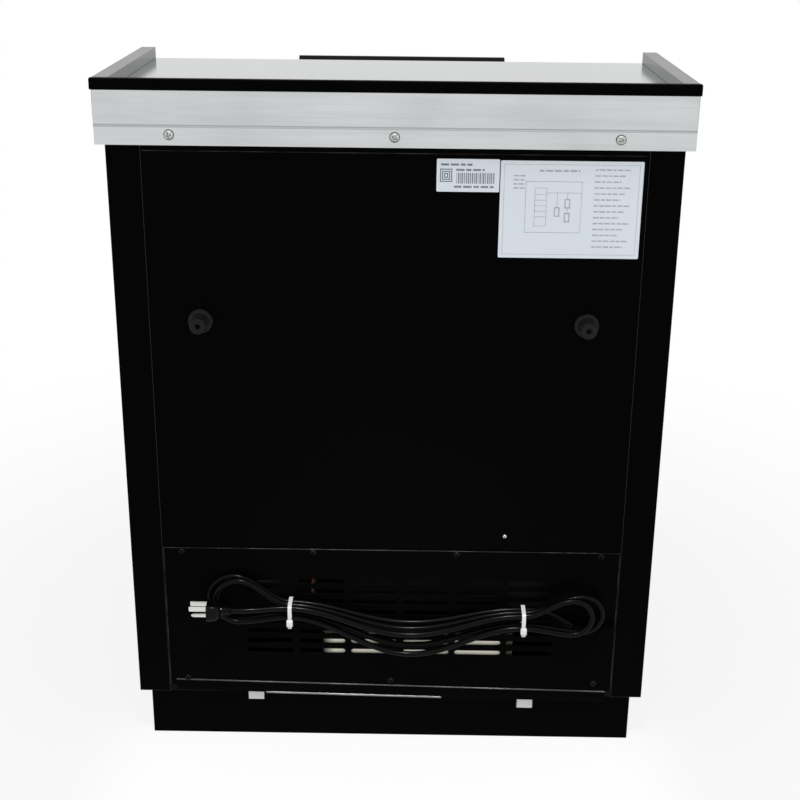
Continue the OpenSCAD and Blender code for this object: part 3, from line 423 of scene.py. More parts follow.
def mesh_piece(name, shape, finish, body="cabinet", sharp=40):
    """A finished piece made from a bmesh, smooth up to an angle in degrees."""
    close_shape(shape)
    mesh = bpy.data.meshes.new(name)
    shape.to_mesh(mesh)
    shape.free()
    mesh.shade_smooth()
    mesh.set_sharp_from_angle(angle=math.radians(sharp))
    return finish_piece(name, mesh, finish, body)


def edges_of(verts):
    return list({edge for vert in verts for edge in vert.link_edges})


def edges_along(edges, axis, length):
    """Those edges that run for more than half a length along an axis."""
    return [edge for edge in edges
            if abs(edge.verts[0].co[axis] - edge.verts[1].co[axis]) > length / 2]


def round_off(shape, edges, radius, segments):
    bmesh.ops.bevel(shape, geom=edges, offset=radius, offset_type="OFFSET", segments=segments,
                    profile=0.5, affect="EDGES", clamp_overlap=True, material=-1)


def add_shape(shape, other):
    """Put another bmesh into this one."""
    mesh = bpy.data.meshes.new("passing")
    other.to_mesh(mesh)
    other.free()
    shape.from_mesh(mesh)
    bpy.data.meshes.remove(mesh)


def add_block(shape, low, high, radius=0.0, segments=3, only=None):
    """A box between two corners, its edges rounded, or only those along one axis."""
    low, high = Vector(low), Vector(high)
    size = high - low
    place = Matrix.Translation((low + high) / 2) @ Matrix.Diagonal((*size, 1))
    made = bmesh.ops.create_cube(shape, size=1, matrix=place)["verts"]
    if radius:
        edges = edges_of(made)
        if only is not None:
            edges = edges_along(edges, only, size[only])
        round_off(shape, edges, radius, segments)


def add_band(shape, low, high, axis, corner, thickness):
    """A closed strip round an axis, its outside between two corners of a box."""
    band = bmesh.new()
    add_block(band, low, high)
    ends = [face for face in band.faces if abs(face.normal[axis]) > 0.9]
    bmesh.ops.delete(band, geom=ends, context="FACES_ONLY")
    round_off(band, edges_along(band.edges, axis, high[axis] - low[axis]), corner, 5)
    bmesh.ops.recalc_face_normals(band, faces=band.faces)
    bmesh.ops.solidify(band, geom=band.faces[:], thickness=thickness)
    add_shape(shape, band)


def add_rod(shape, start, end, radius, sides):
    """A round rod between two points."""
    start, end = Vector(start), Vector(end)
    way = end - start
    turn = way.to_track_quat("Z", "Y").to_matrix().to_4x4()
    bmesh.ops.create_cone(shape, cap_ends=True, segments=sides, radius1=radius, radius2=radius,
                          depth=way.length, matrix=Matrix.Translation((start + end) / 2) @ turn)


def add_ring(shape, centre, radius, wire, steps=64, sides=8):
    """A wire ring that faces along Y."""
    start = Matrix.Translation(centre + Vector((radius, 0, 0)))
    made = bmesh.ops.create_circle(shape, segments=sides, radius=wire / 2, matrix=start)["verts"]
    bmesh.ops.spin(shape, geom=made + edges_of(made), cent=centre, axis=(0, 1, 0), angle=math.tau,
                   steps=steps, use_merge=True)


def arc(across, along, radius, first, last, steps=5):
    """Points of a rounded corner in a turned outline, from one angle to another in degrees."""
    points = []
    for i in range(steps + 1):
        angle = math.radians(first + (last - first) * i / steps)
        points.append((across + radius * math.cos(angle), along + radius * math.sin(angle)))
    return points


def add_turned(shape, profile, start, axis, steps=24):
    """A turned form: radius and distance pairs along an axis from a start point."""
    start, axis = Vector(start), Vector(axis)
    side = axis.orthogonal().normalized()
    verts = [shape.verts.new(start + axis * along + side * radius) for radius, along in profile]
    edges = [shape.edges.new(pair) for pair in zip(verts, verts[1:])]
    bmesh.ops.spin(shape, geom=verts + edges, cent=start, axis=axis, angle=math.tau,
                   steps=steps, use_merge=True)


# The tied mains cord


def ease(share):
    return (1 - math.cos(math.pi * share)) / 2


def between(first, last, share):
    return first + (last - first) * share


class CordRoute:
    """The cord's line: gland, lead, two and a half turns of a tied hank, plug."""

    def __init__(self, diameter):
        self.step = diameter + 0.9 * MM
        self.depth = BACK_FACE + 1.5 * MM + diameter / 2
        self.front = self.depth + 2 * self.step
        self.tie_x = (-156.16 * MM, 118.34 * MM)
        self.tie_z = (COVER_LOW.z + 104 * MM, COVER_LOW.z + 110.5 * MM)
        self.waist = diameter + 1 * MM
        self.left_loop_z = self.tie_z[1] + 12 * MM
        self.right_loop_z = self.tie_z[0] + 7 * MM
        self.upper_sag = (22 * MM, 26 * MM, 30 * MM)
        self.lower_sag = (34 * MM, 42 * MM)
        # Radius and reach of the end loops, turn by turn
        self.left_loops = ((29 * MM, 67 * MM), (27 * MM, 61 * MM))
        self.right_loops = ((23 * MM, 70 * MM), (22 * MM, 58 * MM))
        plug_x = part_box("cord_plug")[0].x
        self.plug = Vector((plug_x, self.front + 9 * MM, self.tie_z[1] + self.waist + 1 * MM))
        self.exit = Vector((GLAND_HIGH.x, self.depth, (GLAND_LOW.z + GLAND_HIGH.z) / 2))
        self.hank_start = Vector((self.tie_x[0] - 9 * MM, self.depth, self.tie_z[0] + self.waist))

    def run(self, start, end, side, sag, layer, climb, steps=30):
        """One run between the ties, sagging in the middle and climbing a layer if asked."""
        points = []
        for i in range(steps + 1):
            t = i / steps
            points.append(Vector((
                between(self.tie_x[start], self.tie_x[end], t),
                self.depth + (layer + climb * ease(t)) * self.step,
                between(self.tie_z[start], self.tie_z[end], t) + side * self.waist
                - sag * math.sin(math.pi * t) ** 2)))
        return points

    def loop(self, tie, way, middle, size, layer, climb=12, bend=28):
        """One end loop, from the tie's upper place round to its lower place."""
        radius, reach = size
        depth = self.depth + layer * self.step
        x, z = self.tie_x[tie], self.tie_z[tie]

        def slope(share, side):
            rise = middle + side * (radius - self.waist) - z
            return Vector((x + way * reach * share, depth, z + side * self.waist + rise * ease(share)))

        points = [slope(i / climb, 1) for i in range(1, climb + 1)]
        for i in range(1, bend):
            angle = math.pi * (0.5 - i / bend)
            points.append(Vector((
                x + way * (reach + radius * math.cos(angle)), depth, middle + radius * math.sin(angle))))
        points += [slope(1 - i / climb, -1) for i in range(climb)]
        return points

    def lead(self, steps=20):
        """From the gland to the hank, level at first and again at its end."""
        level = 0.1
        points = []
        for i in range(steps):
            t = i / steps
            rise = ease(max(0.0, min(1.0, (t - level) / (1 - 2 * level))))
            point = self.exit.lerp(self.hank_start, t)
            point.z = between(self.exit.z, self.hank_start.z, rise)
            points.append(point)
        return points

    def to_plug(self, steps=14):
        """From the last tie to the plug, straight along its last stretch."""
        risen = 0.85
        top = self.tie_z[1] + self.waist
        points = []
        for i in range(1, steps + 1):
            t = i / steps
            rise = ease(min(1.0, t / risen))
            points.append(Vector((
                between(self.tie_x[1], self.plug.x, t), between(self.front, self.plug.y, rise),
                between(top, self.plug.z, rise))))
        return points

    def points(self):
        line = self.lead() + [self.hank_start]
        for turn in (0, 1):
            line += self.run(0, 1, 1, self.upper_sag[turn], turn, 0)
            line += self.loop(1, 1, self.left_loop_z, self.left_loops[turn], turn)
            line += self.run(1, 0, -1, self.lower_sag[turn], turn, 1)
            line += self.loop(0, -1, self.right_loop_z, self.right_loops[turn], turn + 1)[::-1]
        return line + self.run(0, 1, 1, self.upper_sag[2], 2, 0) + self.to_plug()


def curve_piece(name, points, diameter, finish, radii=None):
    """A round tube along points, as a curve of one open spline."""
    curve = set_all(bpy.data.curves.new(name, "CURVE"), dimensions="3D", bevel_depth=diameter / 2,
                    bevel_resolution=5, use_fill_caps=True)
    spline = curve.splines.new("POLY")
    spline.points.add(len(points) - 1)
    for i, point in enumerate(points):
        set_all(spline.points[i], co=(*point, 1), radius=radii[i] if radii else 1.0)
    spline.use_smooth = True
    return finish_piece(name, curve, finish)


def add_loft(shape, start, stations, sides=48):
    """A closed form along +X: at each station its distance, half width, half height and squareness."""
    loops = []
    for along, half_y, half_z, square in stations:
        made = bmesh.ops.create_circle(shape, segments=sides, radius=1)["verts"]
        for vert in made:
            wide, tall = (math.copysign(abs(part) ** (2 / square), part) for part in vert.co.xy)
            vert.co = start + Vector((along, wide * half_y, tall * half_z)) * MM
        loops.append(edges_of(made))
    for loop, after in zip(loops, loops[1:]):
        bmesh.ops.bridge_loops(shape, edges=loop + after)
    for loop in (loops[0], loops[-1]):
        bmesh.ops.edgeloop_fill(shape, edges=loop)


def make_plug(route):
    """Moulded plug: ribbed neck, rounded grip, two blades and a ground pin."""

    def at(x, y, z):
        return route.plug + Vector((x, y, z)) * MM

    shape = bmesh.new()
    neck = []
    ring = 0.7
    for rib in range(4):
        along, thick = 0.4 + 2.7 * rib, 4.6 + 0.35 * rib
        for further, more in ((0, 0), (0.4, ring), (1.4, ring), (1.8, 0)):
            neck.append((along + further, thick + more, thick + more, 2))
    grip = [(11.4, 5.8, 5.8, 2), (12.2, 8.2, 7.6, 2.3), (13.6, 10.4, 9.2, 2.8), (16, 11.7, 10.2, 3.2),
            (20, 12.2, 10.7, 3.6), (26.4, 12.5, 11, 4), (27.5, 12.1, 10.6, 4), (28, 11.2, 9.7, 4)]
    add_loft(shape, route.plug, neck + grip)
    for rib in range(3):
        along = 17.5 + 3 * rib
        for face in (-12, 12):
            add_block(shape, at(along, face - 0.8, -5), at(along + 1.5, face + 0.8, 5), 0.6 * MM)
    body = mesh_piece("plug_body", shape, "gloss_black")
    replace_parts(body, "cord_plug")
    metal = bmesh.new()
    root = 27
    blade_z, half_thick, half_tall = 5.2, 0.75, 3.2
    for y in (-6.35, 6.35):
        add_block(metal, at(root, y - half_thick, blade_z - half_tall),
                  at(root + 21, y + half_thick, blade_z + half_tall), 1.3 * MM, only=1)
    pin = [(0, 0), (2.4, 0), (2.4, 16), (2.2, 17.8), (1.5, 19.3), (0, 20)]
    add_turned(metal, [(radius * MM, along * MM) for radius, along in pin], at(root, 0, -6.7), (1, 0, 0))
    return [body, mesh_piece("plug_contacts", metal, "plug_contact")]


def make_ties(route, diameter):
    """Two white straps round the hank, each with a lock and a trimmed tail."""
    strap_half, strap_t = 2.3 * MM, 1.3 * MM
    play = 0.2 * MM + strap_t / 2
    half = route.waist + diameter / 2 + play
    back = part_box("cord_ties")[0].y + strap_t / 2
    front = route.front + diameter / 2 + play
    lock = front + strap_t / 2
    lock_half = 3.6 * MM
    shape = bmesh.new()
    for x, z in zip(route.tie_x, route.tie_z):
        low = z - half
        add_band(shape, (x - strap_half, back, low), (x + strap_half, front, z + half), 0, 3.4 * MM, strap_t)
        add_block(shape, (x - lock_half, lock - 0.4 * MM, low),
                  (x + lock_half, lock + 3.6 * MM, low + 8 * MM), 0.9 * MM)
        add_block(shape, (x - strap_half, lock + 0.9 * MM, low - 3 * MM),
                  (x + strap_half, lock + 2.1 * MM, low + 1 * MM), 0.4 * MM, 2)
    ties = mesh_piece("cord_tie_straps", shape, "white_plastic")
    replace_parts(ties, "cord_ties")
    return ties


def make_sleeve(route, diameter):
    """The gland's tapered, ribbed sleeve, along the first part of the lead."""
    fine_steps, sleeve_steps = 60, 24
    wide, taper, rib = 1.75, 0.5, 0.14
    radii = []
    for i in range(sleeve_steps):
        ribbed = rib if i % 4 < 2 else 0.0
        radii.append(wide - taper * i / (sleeve_steps - 1) + ribbed)
    line = route.lead(fine_steps)[:sleeve_steps]
    return curve_piece("cord_sleeve", line, diameter, "black_plastic", radii)


class COOLER_OT_cord(bpy.types.Operator):
    """Lay the tied mains cord with its sleeve, plug and ties"""

    bl_idname = "cooler.cord"
    bl_label = "Mains cord"

    def execute(self, context):
        diameter = context.scene.cooler_sizes.cord_diameter
        route = CordRoute(diameter)
        points = route.points()
        cord = curve_piece("mains_cord", points, diameter, "cord_rubber")
        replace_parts(cord, "cord_lead", "cord_hank")
        sleeve = make_sleeve(route, diameter)
        with_pieces = make_plug(route) + [make_ties(route, diameter), sleeve]
        return {"FINISHED"}


# Wall bumpers


class COOLER_OT_bumpers(bpy.types.Operator):
    """Put the two moulded rubber bumpers on the back panel, each with a blind hole in its nose"""

    bl_idname = "cooler.bumpers"
    bl_label = "Wall bumpers"

    def execute(self, context):
        low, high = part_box("wall_bumpers")
        seat = (high.z - low.z) / 2
        reach = (high.y - PANEL_FACE) / MM
        flange, nose, hole, hole_depth = 13.4, 9, 3, 9
        outline = [
            (0, reach - hole_depth), (hole, reach - hole_depth), (hole, reach - 0.6), (hole + 0.6, reach),
            *arc(nose - 2.4, reach - 2.4, 2.4, 90, 5), (nose + 0.9, 6), (nose + 1.6, 4.3), (nose + 2.4, 3.7),
            *arc(flange - 1, 2.5, 1, 90, 0), (flange, 0), (0, 0)]
        outline = [(radius * MM, along * MM) for radius, along in outline]
        shape = bmesh.new()
        for x in (low.x + seat, high.x - seat):
            add_turned(shape, outline, (x, PANEL_FACE, (low.z + high.z) / 2), (0, 1, 0), 56)
        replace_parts(mesh_piece("rubber_bumpers", shape, "rubber"), "wall_bumpers")
        return {"FINISHED"}


# Edges of the rear sheets


class COOLER_OT_hems(bpy.types.Operator):
    """Put a narrow rail, a little askew, along the cover's foot, and draw the rear sheets' rubbed edges, one
    of them also a painted highlight
    """

    bl_idname = "cooler.hems"
    bl_label = "Rear sheet edges"

    def execute(self, context):
        middle = Vector((0, BACK_FACE, 70.2 * MM))
        half_long, half_tall, rail_t = 260 * MM, 7.2 * MM, 1.2 * MM
        proud = Vector((0, 0.5 * MM, 0))
        askew = Matrix.Rotation(math.radians(-1.0), 3, "Y")
        rail = bmesh.new()
        add_block(rail, (-half_long, BACK_FACE, -half_tall), (half_long, BACK_FACE + rail_t, half_tall),
                  0.5 * MM, 2)
        bmesh.ops.rotate(rail, verts=rail.verts, cent=(0, 0, 0), matrix=askew)
        bmesh.ops.translate(rail, verts=rail.verts, vec=(0, 0, middle.z))
        mesh_piece("foot_rail", rail, "black_steel")
        # Rolled edges of the rail: their ends along it, their height and their radius. The lower one is bare
        # metal only along the stretch where the lip catches the light, a painted highlight as well as rubbed
        # paint
        for name, finish, ends, z, radius in (
                ("sheet_hems", "worn_hem", (half_long, -half_long), half_tall, 0.9 * MM),
                ("rubbed_lip_and_highlight", "worn_lip_and_highlight", (151 * MM, -62 * MM), -half_tall, 1.4 * MM)):
            shape = bmesh.new()
            add_rod(shape, *(middle + askew @ Vector((x, 0, z)) + proud for x in ends), radius, 24)
            mesh_piece(name, shape, finish)
        edges = bmesh.new()
        radius = 0.6 * MM
        side = COVER_HIGH.x - radius
        depth = BACK_FACE - 0.5 * radius
        panel_fold = (PANEL_FACE - 0.5 * radius, 724 * MM)
        for x in (-side, side):
            add_rod(edges, (x, depth, COVER_LOW.z), (x, depth, COVER_HIGH.z), radius, 12)
        for y, z in ((depth, COVER_HIGH.z - radius), panel_fold):
            add_rod(edges, (-side, y, z), (side, y, z), radius, 12)
        mesh_piece("rubbed_edges", edges, "worn_edge")
        return {"FINISHED"}


# Screws


def add_screw_head(shape, seat, diameter, turn, facing=1):
    """A domed head with a cross recess, on a face towards +Y, or towards -Y if facing is -1."""
    radius, height = diameter / 2, diameter * 0.36
    arm, reach, slope = radius * 0.17, radius * 0.6, radius * 0.05
    fall, curl = 0.75, 2.2
    steps = 10
    dome = [(radius * i / steps, height * (1 - fall * (i / steps) ** curl)) for i in range(steps + 1)]
    head = bmesh.new()
    add_turned(head, dome + [(radius, 0), (0, 0)], (0, 0, 0), (0, 1, 0), 40)
    close_shape(head)
    ways = [Matrix.Rotation(turn + angle, 3, "Y") @ Vector((1, 0, 0)) for angle in (0, math.pi / 2)]
    for way in ways:
        for offset in (-reach, -arm, arm, reach):
            bmesh.ops.bisect_plane(head, geom=head.verts[:] + head.edges[:] + head.faces[:],
                                   plane_co=way * offset, plane_no=way)

    def in_cross(face):
        middle = face.calc_center_median()
        near, far = sorted(abs(middle.dot(way)) for way in ways)
        return middle.y > height / 3 and near < arm and far < reach

    bmesh.ops.inset_region(head, faces=[face for face in head.faces if in_cross(face)], thickness=slope,
                           depth=-0.5 * height, use_even_offset=True, use_boundary=True)
    if facing < 0:
        bmesh.ops.rotate(head, verts=head.verts, cent=(0, 0, 0), matrix=Matrix.Rotation(math.pi, 3, "Z"))
    bmesh.ops.translate(head, verts=head.verts, vec=seat)
    add_shape(shape, head)


def make_screws(name, finish, screws):
    """Heads in place of a node's screws: x and z in millimetres, the face's y, diameter in millimetres."""
    shape = bmesh.new()
    for i, (x, z, face, size) in enumerate(screws):
        add_screw_head(shape, Vector((x * MM, face, z * MM)), size * MM, 0.4 + 0.7 * i)
    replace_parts(mesh_piece(name + "_heads", shape, finish, sharp=50), name)


class COOLER_OT_screws(bpy.types.Operator):
    """Set domed cross-recess screws in place of the plain ones, with dark seal rings under the apron's that
    also stand in for the shade round those heads
    """

    bl_idname = "cooler.screws"
    bl_label = "Screws"

    def execute(self, context):
        apron_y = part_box("rear_apron")[1].y
        seal_y = apron_y + 0.5 * MM
        apron_z, apron_size, seal_radius = 743, 10, 5.5 * MM
        apron_x = (-234.85, 0, 234.85)
        # Dark seal rings under the apron's heads, which also paint the shade round them
        seal_and_shade_rings = bmesh.new()
        for x in apron_x:
            add_rod(seal_and_shade_rings, (x * MM, apron_y, apron_z * MM), (x * MM, seal_y, apron_z * MM), seal_radius, 40)
        mesh_piece("screw_seal_and_shade_rings", seal_and_shade_rings, "black_plastic")
        panel_screw = (-131.76, 279, PANEL_FACE, 5)
        make_screws("bright_screws", "bright_screw",
                    [(x, apron_z, seal_y, apron_size) for x in apron_x] + [panel_screw])
        top, low = COVER_HIGH.z / MM - 5, COVER_LOW.z / MM + 10
        end = COVER_HIGH.x / MM - 22
        places = [(x, top) for x in (-end, -76.25, 91.5, end)] + [(x, low) for x in (-end, 0, end)]
        make_screws("cover_screws", "black_screw", [(x, z, BACK_FACE, 8) for x, z in places])
        return {"FINISHED"}


# Labels on the back panel, with their places in millimetres


def add_print(shape, x, z, width, height):
    """One printed bar on a label, its left end at x as seen from behind."""
    face = PANEL_FACE + bpy.context.scene.cooler_sizes.label_thickness
    sunk, proud = 0.02 * MM, 0.03 * MM
    add_block(shape, ((x - width) * MM, face - sunk, (z - height / 2) * MM),
              (x * MM, face + proud, (z + height / 2) * MM))


def add_outline(shape, x, z, width, height, line):
    """A printed rectangle, its upper left corner at x and z."""
    for edge in (z, z - height):
        add_print(shape, x, edge, width, line)
    for side in (x, x - width + line):
        add_print(shape, side, z - height / 2, line, height)


def add_dashes(shape, x, z, width, height, turn):
    """A line of short dashes of uneven lengths, a different one for each turn."""
    at = 0.0
    count = 0
    while at < width:
        dash = min(height * (2.2 + 2 * abs(math.sin(5.3 * turn + 2.1 * count))), width - at)
        add_print(shape, x - at, z, dash, height)
        at += dash + height * 0.8
        count += 1


def add_bars(shape, x, z, width, height):
    """A block of upright bars of uneven widths."""
    at = 0.0
    count = 0
    while at < width:
        bar = 0.5 + abs(math.sin(1.7 * count))
        add_print(shape, x - at, z, bar, height)
        at += bar + 0.6 + 0.5 * abs(math.cos(2.3 * count))
        count += 1


def print_small_label():
    """A line of dashes, a nested box, a block of bars and two more lines."""
    shape = bmesh.new()
    for turn, x, z, width in ((1, -49, 713, 33), (2, -65, 707.4, 30), (4, -63, 689.4, 42)):
        add_dashes(shape, x, z, width, 2.2, turn)
    for inset in (0, 2.2, 4.4):
        side = 13 - 2 * inset
        add_outline(shape, -48 - inset, 708 - inset, side, side, 1.1)
    add_bars(shape, -65.5, 698.6, 39, 11.5)
    mesh_piece("small_label_print", shape, "label_ink")


def print_large_label():
    """A border, a heading, a plain diagram and a column of lines."""
    shape = bmesh.new()
    line, small = 0.6, 1.5
    add_outline(shape, -116, 714, 143, 97, 0.4)
    add_dashes(shape, -153, 707.5, 43, 2, 3)
    for row in range(4):
        add_dashes(shape, -126, 702 - 4.4 * row, 12, small, row + 1)
    add_outline(shape, -139, 696, 60, 55, line)
    add_outline(shape, -149, 689, 13, 41, line)
    for rung in range(5):
        add_print(shape, -149, 682 - 6 * rung, 13, line)
    rail_z = 684
    add_print(shape, -162, rail_z, 37, line)
    for x, z, wire_top in ((-170, 668, rail_z), (-181, 677, rail_z), (-181, 662, 668)):
        add_outline(shape, x, z, 6, 9, 1.1)
        add_print(shape, x - 2.7, (z + wire_top) / 2, line, wire_top - z)
    for row in range(14):
        add_dashes(shape, -212, 709 - 6.4 * row, 38 - 5 * (row % 3), small, row)
    mesh_piece("large_label_print", shape, "label_faint_ink")


class COOLER_OT_labels(bpy.types.Operator):
    """Stick two labels with plain printed bars and rules on the back panel"""

    bl_idname = "cooler.labels"
    bl_label = "Rear labels"

    def execute(self, context):
        face = PANEL_FACE + context.scene.cooler_sizes.label_thickness
        # Upper left corner, width and height
        sheets = {"small_label": (-44.5, 719, 66.5, 35), "large_label": (-112, 718, 151, 105)}
        for name, (x, z, width, height) in sheets.items():
            shape = bmesh.new()
            add_block(shape, ((x - width) * MM, PANEL_FACE, (z - height) * MM), (x * MM, face, z * MM),
                      1.2 * MM, only=1)
            mesh_piece(name, shape, "label_paper")
        print_small_label()
        print_large_label()
        return {"FINISHED"}


# Edge trim of the lid


class COOLER_OT_lid_trim(bpy.types.Operator):
    """Close the lid's edge between its skin and its liner with a moulded strip"""

    bl_idname = "cooler.lid_trim"
    bl_label = "Lid trim"

    def execute(self, context):
        skin_low, skin_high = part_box("lid_skin")
        low = (skin_low.x, skin_low.y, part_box("lid_liner")[0].z)
        high = (skin_high.x, skin_high.y, skin_low.z)
        shape = bmesh.new()
        add_band(shape, low, high, 2, 0.8 * MM, 1.2 * MM)
        mesh_piece("lid_edge_trim", shape, "black_plastic", body="lid")
        return {"FINISHED"}


# Fittings inside the well


def add_number(shape, digits, middle, height):
    """A flat number that is read from the front."""
    curve = set_all(bpy.data.curves.new("number", "FONT"), body=digits, size=height, align_x="CENTER",
                    align_y="CENTER", extrude=0.05 * MM)
    writing = link("number", curve)
    mesh = bpy.data.meshes.new_from_object(writing)
    mesh.transform(Matrix.Translation(middle) @ Matrix.Rotation(math.pi / 2, 4, "X"))
    shape.from_mesh(mesh)
    bpy.data.objects.remove(writing)
    bpy.data.curves.remove(curve)
    bpy.data.meshes.remove(mesh)


def middle_of(node):
    low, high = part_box(node)
    return (low + high) / 2


def direction(angle):
    """A unit step in the front's plane, at an angle from +X towards +Z."""
    return Vector((math.cos(angle), 0, math.sin(angle)))


def make_guard(wire):
    """Wire rings on four spokes in front of the evaporator's fan."""
    centre = middle_of("evaporator_fan")
    centre.y = EVAPORATOR_LOW.y - wire / 2
    rings, outer, hub_less = 5, 72 * MM, 2 * MM
    shape = bmesh.new()
    for i in range(rings):
        add_ring(shape, centre, outer * (i + 1) / rings - (0 if i else hub_less), wire)
    hub = centre - Vector((0, wire * 0.8, 0))
    for i in range(4):
        way = direction(math.pi * (0.25 + 0.5 * i))
        add_rod(shape, hub + way * 12 * MM, hub + way * 78 * MM, wire / 2, 8)
    mesh_piece("evaporator_guard", shape, "coated_wire")


def make_dial():
    """A plate behind the thermostat's knob, numbered round its turn."""
    middle = middle_of("thermostat")
    middle.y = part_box("thermostat_knob")[1].y + 0.3 * MM
    corner = Vector((25 * MM, 0, 25 * MM))
    plate = bmesh.new()
    add_block(plate, middle - corner - Vector((0, 0.2 * MM, 0)), middle + corner, 4 * MM, 4, only=1)
    mesh_piece("thermostat_dial", plate, "white_plastic")
    numbers, first, turn = 7, 225, 270
    marks = bmesh.new()
    for i in range(numbers):
        place = middle + direction(math.radians(first - turn * i / (numbers - 1))) * 21.3 * MM
        place.y -= 0.22 * MM
        add_number(marks, str(i + 1), place, 5 * MM)
    mesh_piece("thermostat_marks", marks, "label_ink")


class COOLER_OT_fittings(bpy.types.Operator):
    """Put the fan guard and screws on the evaporator cover and the dial round the thermostat's knob"""

    bl_idname = "cooler.fittings"
    bl_label = "Inside fittings"

    def execute(self, context):
        make_guard(context.scene.cooler_sizes.guard_wire)
        make_dial()
        screws = bmesh.new()
        inset = 9 * MM
        for x in (EVAPORATOR_LOW.x + inset, EVAPORATOR_HIGH.x - inset):
            for z in (EVAPORATOR_LOW.z + inset, EVAPORATOR_HIGH.z - inset):
                add_screw_head(screws, Vector((x, EVAPORATOR_LOW.y, z)), 7 * MM, 40 * x + z, facing=-1)
        mesh_piece("evaporator_screws", screws, "bright_screw", sharp=50)
        return {"FINISHED"}


# Finishes of the modelled nodes


# Nodes whose finish isn't simply their slot's
PIECE_FINISH = {
    "shelf_tray": "stainless_polished", "lid_skin": "stainless_polished", "rear_apron": "stainless_shaded_crease",
    "shelf_cheek_left": "stainless_side_shaded", "shelf_cheek_right": "stainless_side_shaded",
    "side_panel_left": "enamel_side", "side_panel_right": "enamel_side", "front_panel": "enamel_front",
    "condenser_coil": "dark_fins",
}
ENAMELLED = ("plinth_frame", "base_pan", "side_panel_left", "side_panel_right", "front_panel", "back_panel",
             "machine_cover")
# Rounding of other nodes' edges in millimetres
ROUNDED = {
    "shelf_cheek_left": 0.5, "shelf_cheek_right": 0.5, "rear_apron": 0.4, "rear_edge_strip": 0.6,
    "shelf_tray": 0.4, "lid_skin": 1.0, "lid_handle": 0.8, "spacer_pads": 1.0, "deck_frame": 0.8,
    "cord_gland": 1.6, "evaporator_cover": 0.5, "thermostat": 1.5,
}


def round_edges(node, width, edge_finish=None):
    """Soften a node's sharp edges, with a finish of their own if asked."""
    flat_angle, sharp_angle = math.radians(0.5), math.radians(40)
    add = node.modifiers.new
    set_all(add("weld", "WELD"), merge_threshold=0.002 * MM)
    set_all(add("flat_faces", "DECIMATE"), decimate_type="DISSOLVE", angle_limit=flat_angle)
    bevel = set_all(add("edges", "BEVEL"), width=width, segments=2, limit_method="ANGLE",
                    angle_limit=sharp_angle, use_clamp_overlap=True)
    if edge_finish:
        node.data.materials.append(FINISHES[edge_finish])
        bevel.material = 1
    add("normals", "WEIGHTED_NORMAL")


class COOLER_OT_finishes(bpy.types.Operator):
    """Give every modelled node its finish and soften its sheet edges"""

    bl_idname = "cooler.finishes"
    bl_label = "Finishes"

    def execute(self, context):
        make_finishes(context.scene.cooler_colours)
        for name, node in NODES.items():
            finish = PIECE_FINISH.get(name, SLOT_OF[name])
            for slot in node.material_slots:
                slot.material = FINISHES[finish]
        for name in ENAMELLED:
            round_edges(NODES[name], context.scene.cooler_sizes.sheet_edge, "enamel_edge")
        for name, width in ROUNDED.items():
            round_edges(NODES[name], width * MM)
        return {"FINISHED"}


# Stage


# What the two soft lamps point at, where they hang and how wide they are
MIDDLE = (0, 0.1, 0.4)
KEY_PLACE, KEY_WIDTH = (-0.05, 0.95, 3.0), 2.4
FILL_PLACE, FILL_WIDTH = (-2.2, 1.4, 1.3), 2.0
# The small lamp's place, aim, cone in degrees, soft edge and radius
SPOT_PLACE, SPOT_AIM = (0, 1.0, 1.6), (0, 0.45, 0)
SPOT_CONE, SPOT_BLEND, SPOT_RADIUS = 24, 0.3, 0.06
# The camera's heading, its tilt up from straight down and its roll, in degrees
CAMERA_TURNS = ((180.504, "Z"), (69.41, "X"), (0.579, "Z"))
# The floor's half side and paint, and its glow, which grows to full white between two distances
FLOOR_REACH, FLOOR_PAINT = 40, 0.8
GLOW_NEAR, GLOW_START, GLOW_END = 0.84, 0.45, 1.3


def seen_rays(wiring):
    """1 for rays that show a surface: from the camera, in a reflection or through glass."""
    rays = wiring.add("LightPath").outputs
    seen = wiring.math("MAXIMUM", rays["Is Camera Ray"], rays["Is Glossy Ray"])
    return wiring.math("MAXIMUM", seen, rays["Is Transmission Ray"])


def make_world(ambient):
    """Even light of a given strength, plain white where it is seen."""
    world = bpy.data.worlds.new("studio")
    world.use_nodes = True
    wiring = Wiring(world.node_tree)
    shades = []
    for strength in (ambient, 1.0):
        parts = {"Color": (1, 1, 1, 1), "Strength": strength}
        shades.append(wiring.add("Background", parts).outputs["Background"])
    wiring.add("OutputWorld", {"Surface": wiring.mix(seen_rays(wiring), *shades)})
    bpy.context.scene.world = world


def make_floor():
    """A white floor that keeps the object's shadow near it."""
    shape = bmesh.new()
    bmesh.ops.create_grid(shape, x_segments=1, y_segments=1, size=FLOOR_REACH)
    mesh = bpy.data.meshes.new("floor")
    shape.to_mesh(mesh)
    shape.free()
    material = bpy.data.materials.new("floor")
    material.use_nodes = True
    wiring = Wiring(material.node_tree)
    colour = (FLOOR_PAINT, FLOOR_PAINT, FLOOR_PAINT, 1)
    paint = wiring.add("BsdfDiffuse", {"Color": colour}).outputs["BSDF"]
    glow = wiring.add("Emission").outputs["Emission"]
    place = wiring.add("TexCoord").outputs["Object"]
    distance = wiring.add("VectorMath", {0: place}, operation="LENGTH").outputs["Value"]
    fade = wiring.ramp(distance, GLOW_NEAR, 1.0, GLOW_START, GLOW_END, "SMOOTHSTEP")
    share = wiring.math("MULTIPLY", seen_rays(wiring), fade)
    wiring.add("OutputMaterial", {"Surface": wiring.mix(share, paint, glow)})
    mesh.materials.append(material)
    link("floor", mesh)


def make_lamp(name, kind, place, aim, **settings):
    """A lamp at a place, turned towards another."""
    turn = (Vector(aim) - Vector(place)).to_track_quat("-Z", "Y").to_euler()
    lamp = set_all(bpy.data.lights.new(name, kind), **settings)
    set_all(link(name, lamp), location=place, rotation_euler=turn)


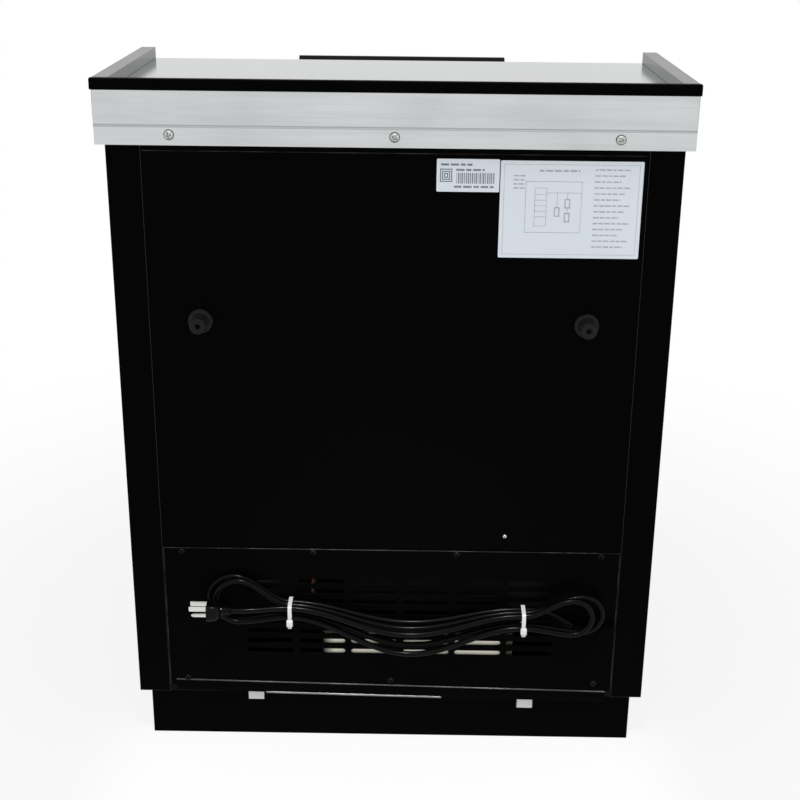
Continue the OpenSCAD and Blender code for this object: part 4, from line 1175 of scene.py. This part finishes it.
class COOLER_OT_stage(bpy.types.Operator):
    """Set the floor, the light and the camera"""

    bl_idname = "cooler.stage"
    bl_label = "Stage"

    def execute(self, context):
        stage = context.scene.cooler_stage
        make_world(stage.ambient)
        make_floor()
        # Two wide soft lamps, dim enough in themselves that steel can mirror them
        for name, place, width, power in (("key_lamp", KEY_PLACE, KEY_WIDTH, stage.key_power),
                                          ("fill_lamp", FILL_PLACE, FILL_WIDTH, stage.fill_power)):
            make_lamp(name, "AREA", place, MIDDLE, shape="DISK", size=width, energy=power)
        # A small lamp with a narrow cone, on the machine cover
        make_lamp("rear_spot", "SPOT", SPOT_PLACE, SPOT_AIM, spot_size=math.radians(SPOT_CONE),
                  spot_blend=SPOT_BLEND, shadow_soft_size=SPOT_RADIUS, energy=stage.spot_power)
        lens = set_all(bpy.data.cameras.new("camera"), lens=stage.camera_lens, clip_end=100)
        camera = link("camera", lens)
        stand = Matrix.Translation(stage.camera_place)
        for degrees, axis in CAMERA_TURNS:
            stand = stand @ Matrix.Rotation(math.radians(degrees), 4, axis)
        camera.matrix_world = stand
        context.scene.camera = camera
        context.scene.view_settings.view_transform = "Standard"
        return {"FINISHED"}


STEPS = (COOLER_OT_finishes, COOLER_OT_stage, COOLER_OT_cord, COOLER_OT_bumpers, COOLER_OT_hems,
         COOLER_OT_screws, COOLER_OT_labels, COOLER_OT_lid_trim, COOLER_OT_fittings)


class COOLER_PT_panel(bpy.types.Panel):
    """Sizes, colours and steps of the cooler"""

    bl_idname = "COOLER_PT_panel"
    bl_label = "Cooler"
    bl_space_type = "VIEW_3D"
    bl_region_type = "UI"
    bl_category = "Cooler"

    def draw(self, context):
        for place, group in PROPERTY_GROUPS.items():
            for name in group.__annotations__:
                self.layout.prop(getattr(context.scene, place), name)
        for step in STEPS:
            self.layout.operator(step.bl_idname)


PROPERTY_GROUPS = {"cooler_sizes": CoolerSizes, "cooler_colours": CoolerColours, "cooler_stage": CoolerStage}
CLASSES = (*PROPERTY_GROUPS.values(), *STEPS, COOLER_PT_panel)


def register():
    for cls in CLASSES:
        bpy.utils.register_class(cls)
    for name, group in PROPERTY_GROUPS.items():
        setattr(bpy.types.Scene, name, PointerProperty(type=group))


def unregister():
    for name in PROPERTY_GROUPS:
        delattr(bpy.types.Scene, name)
    for cls in reversed(CLASSES):
        bpy.utils.unregister_class(cls)


def main():
    register()
    bpy.ops.cooler.finishes()
    bpy.ops.cooler.stage()
    bpy.ops.cooler.cord()
    bpy.ops.cooler.bumpers()
    bpy.ops.cooler.hems()
    bpy.ops.cooler.screws()
    bpy.ops.cooler.labels()
    bpy.ops.cooler.lid_trim()
    bpy.ops.cooler.fittings()


if __name__ == "__main__":
    main()
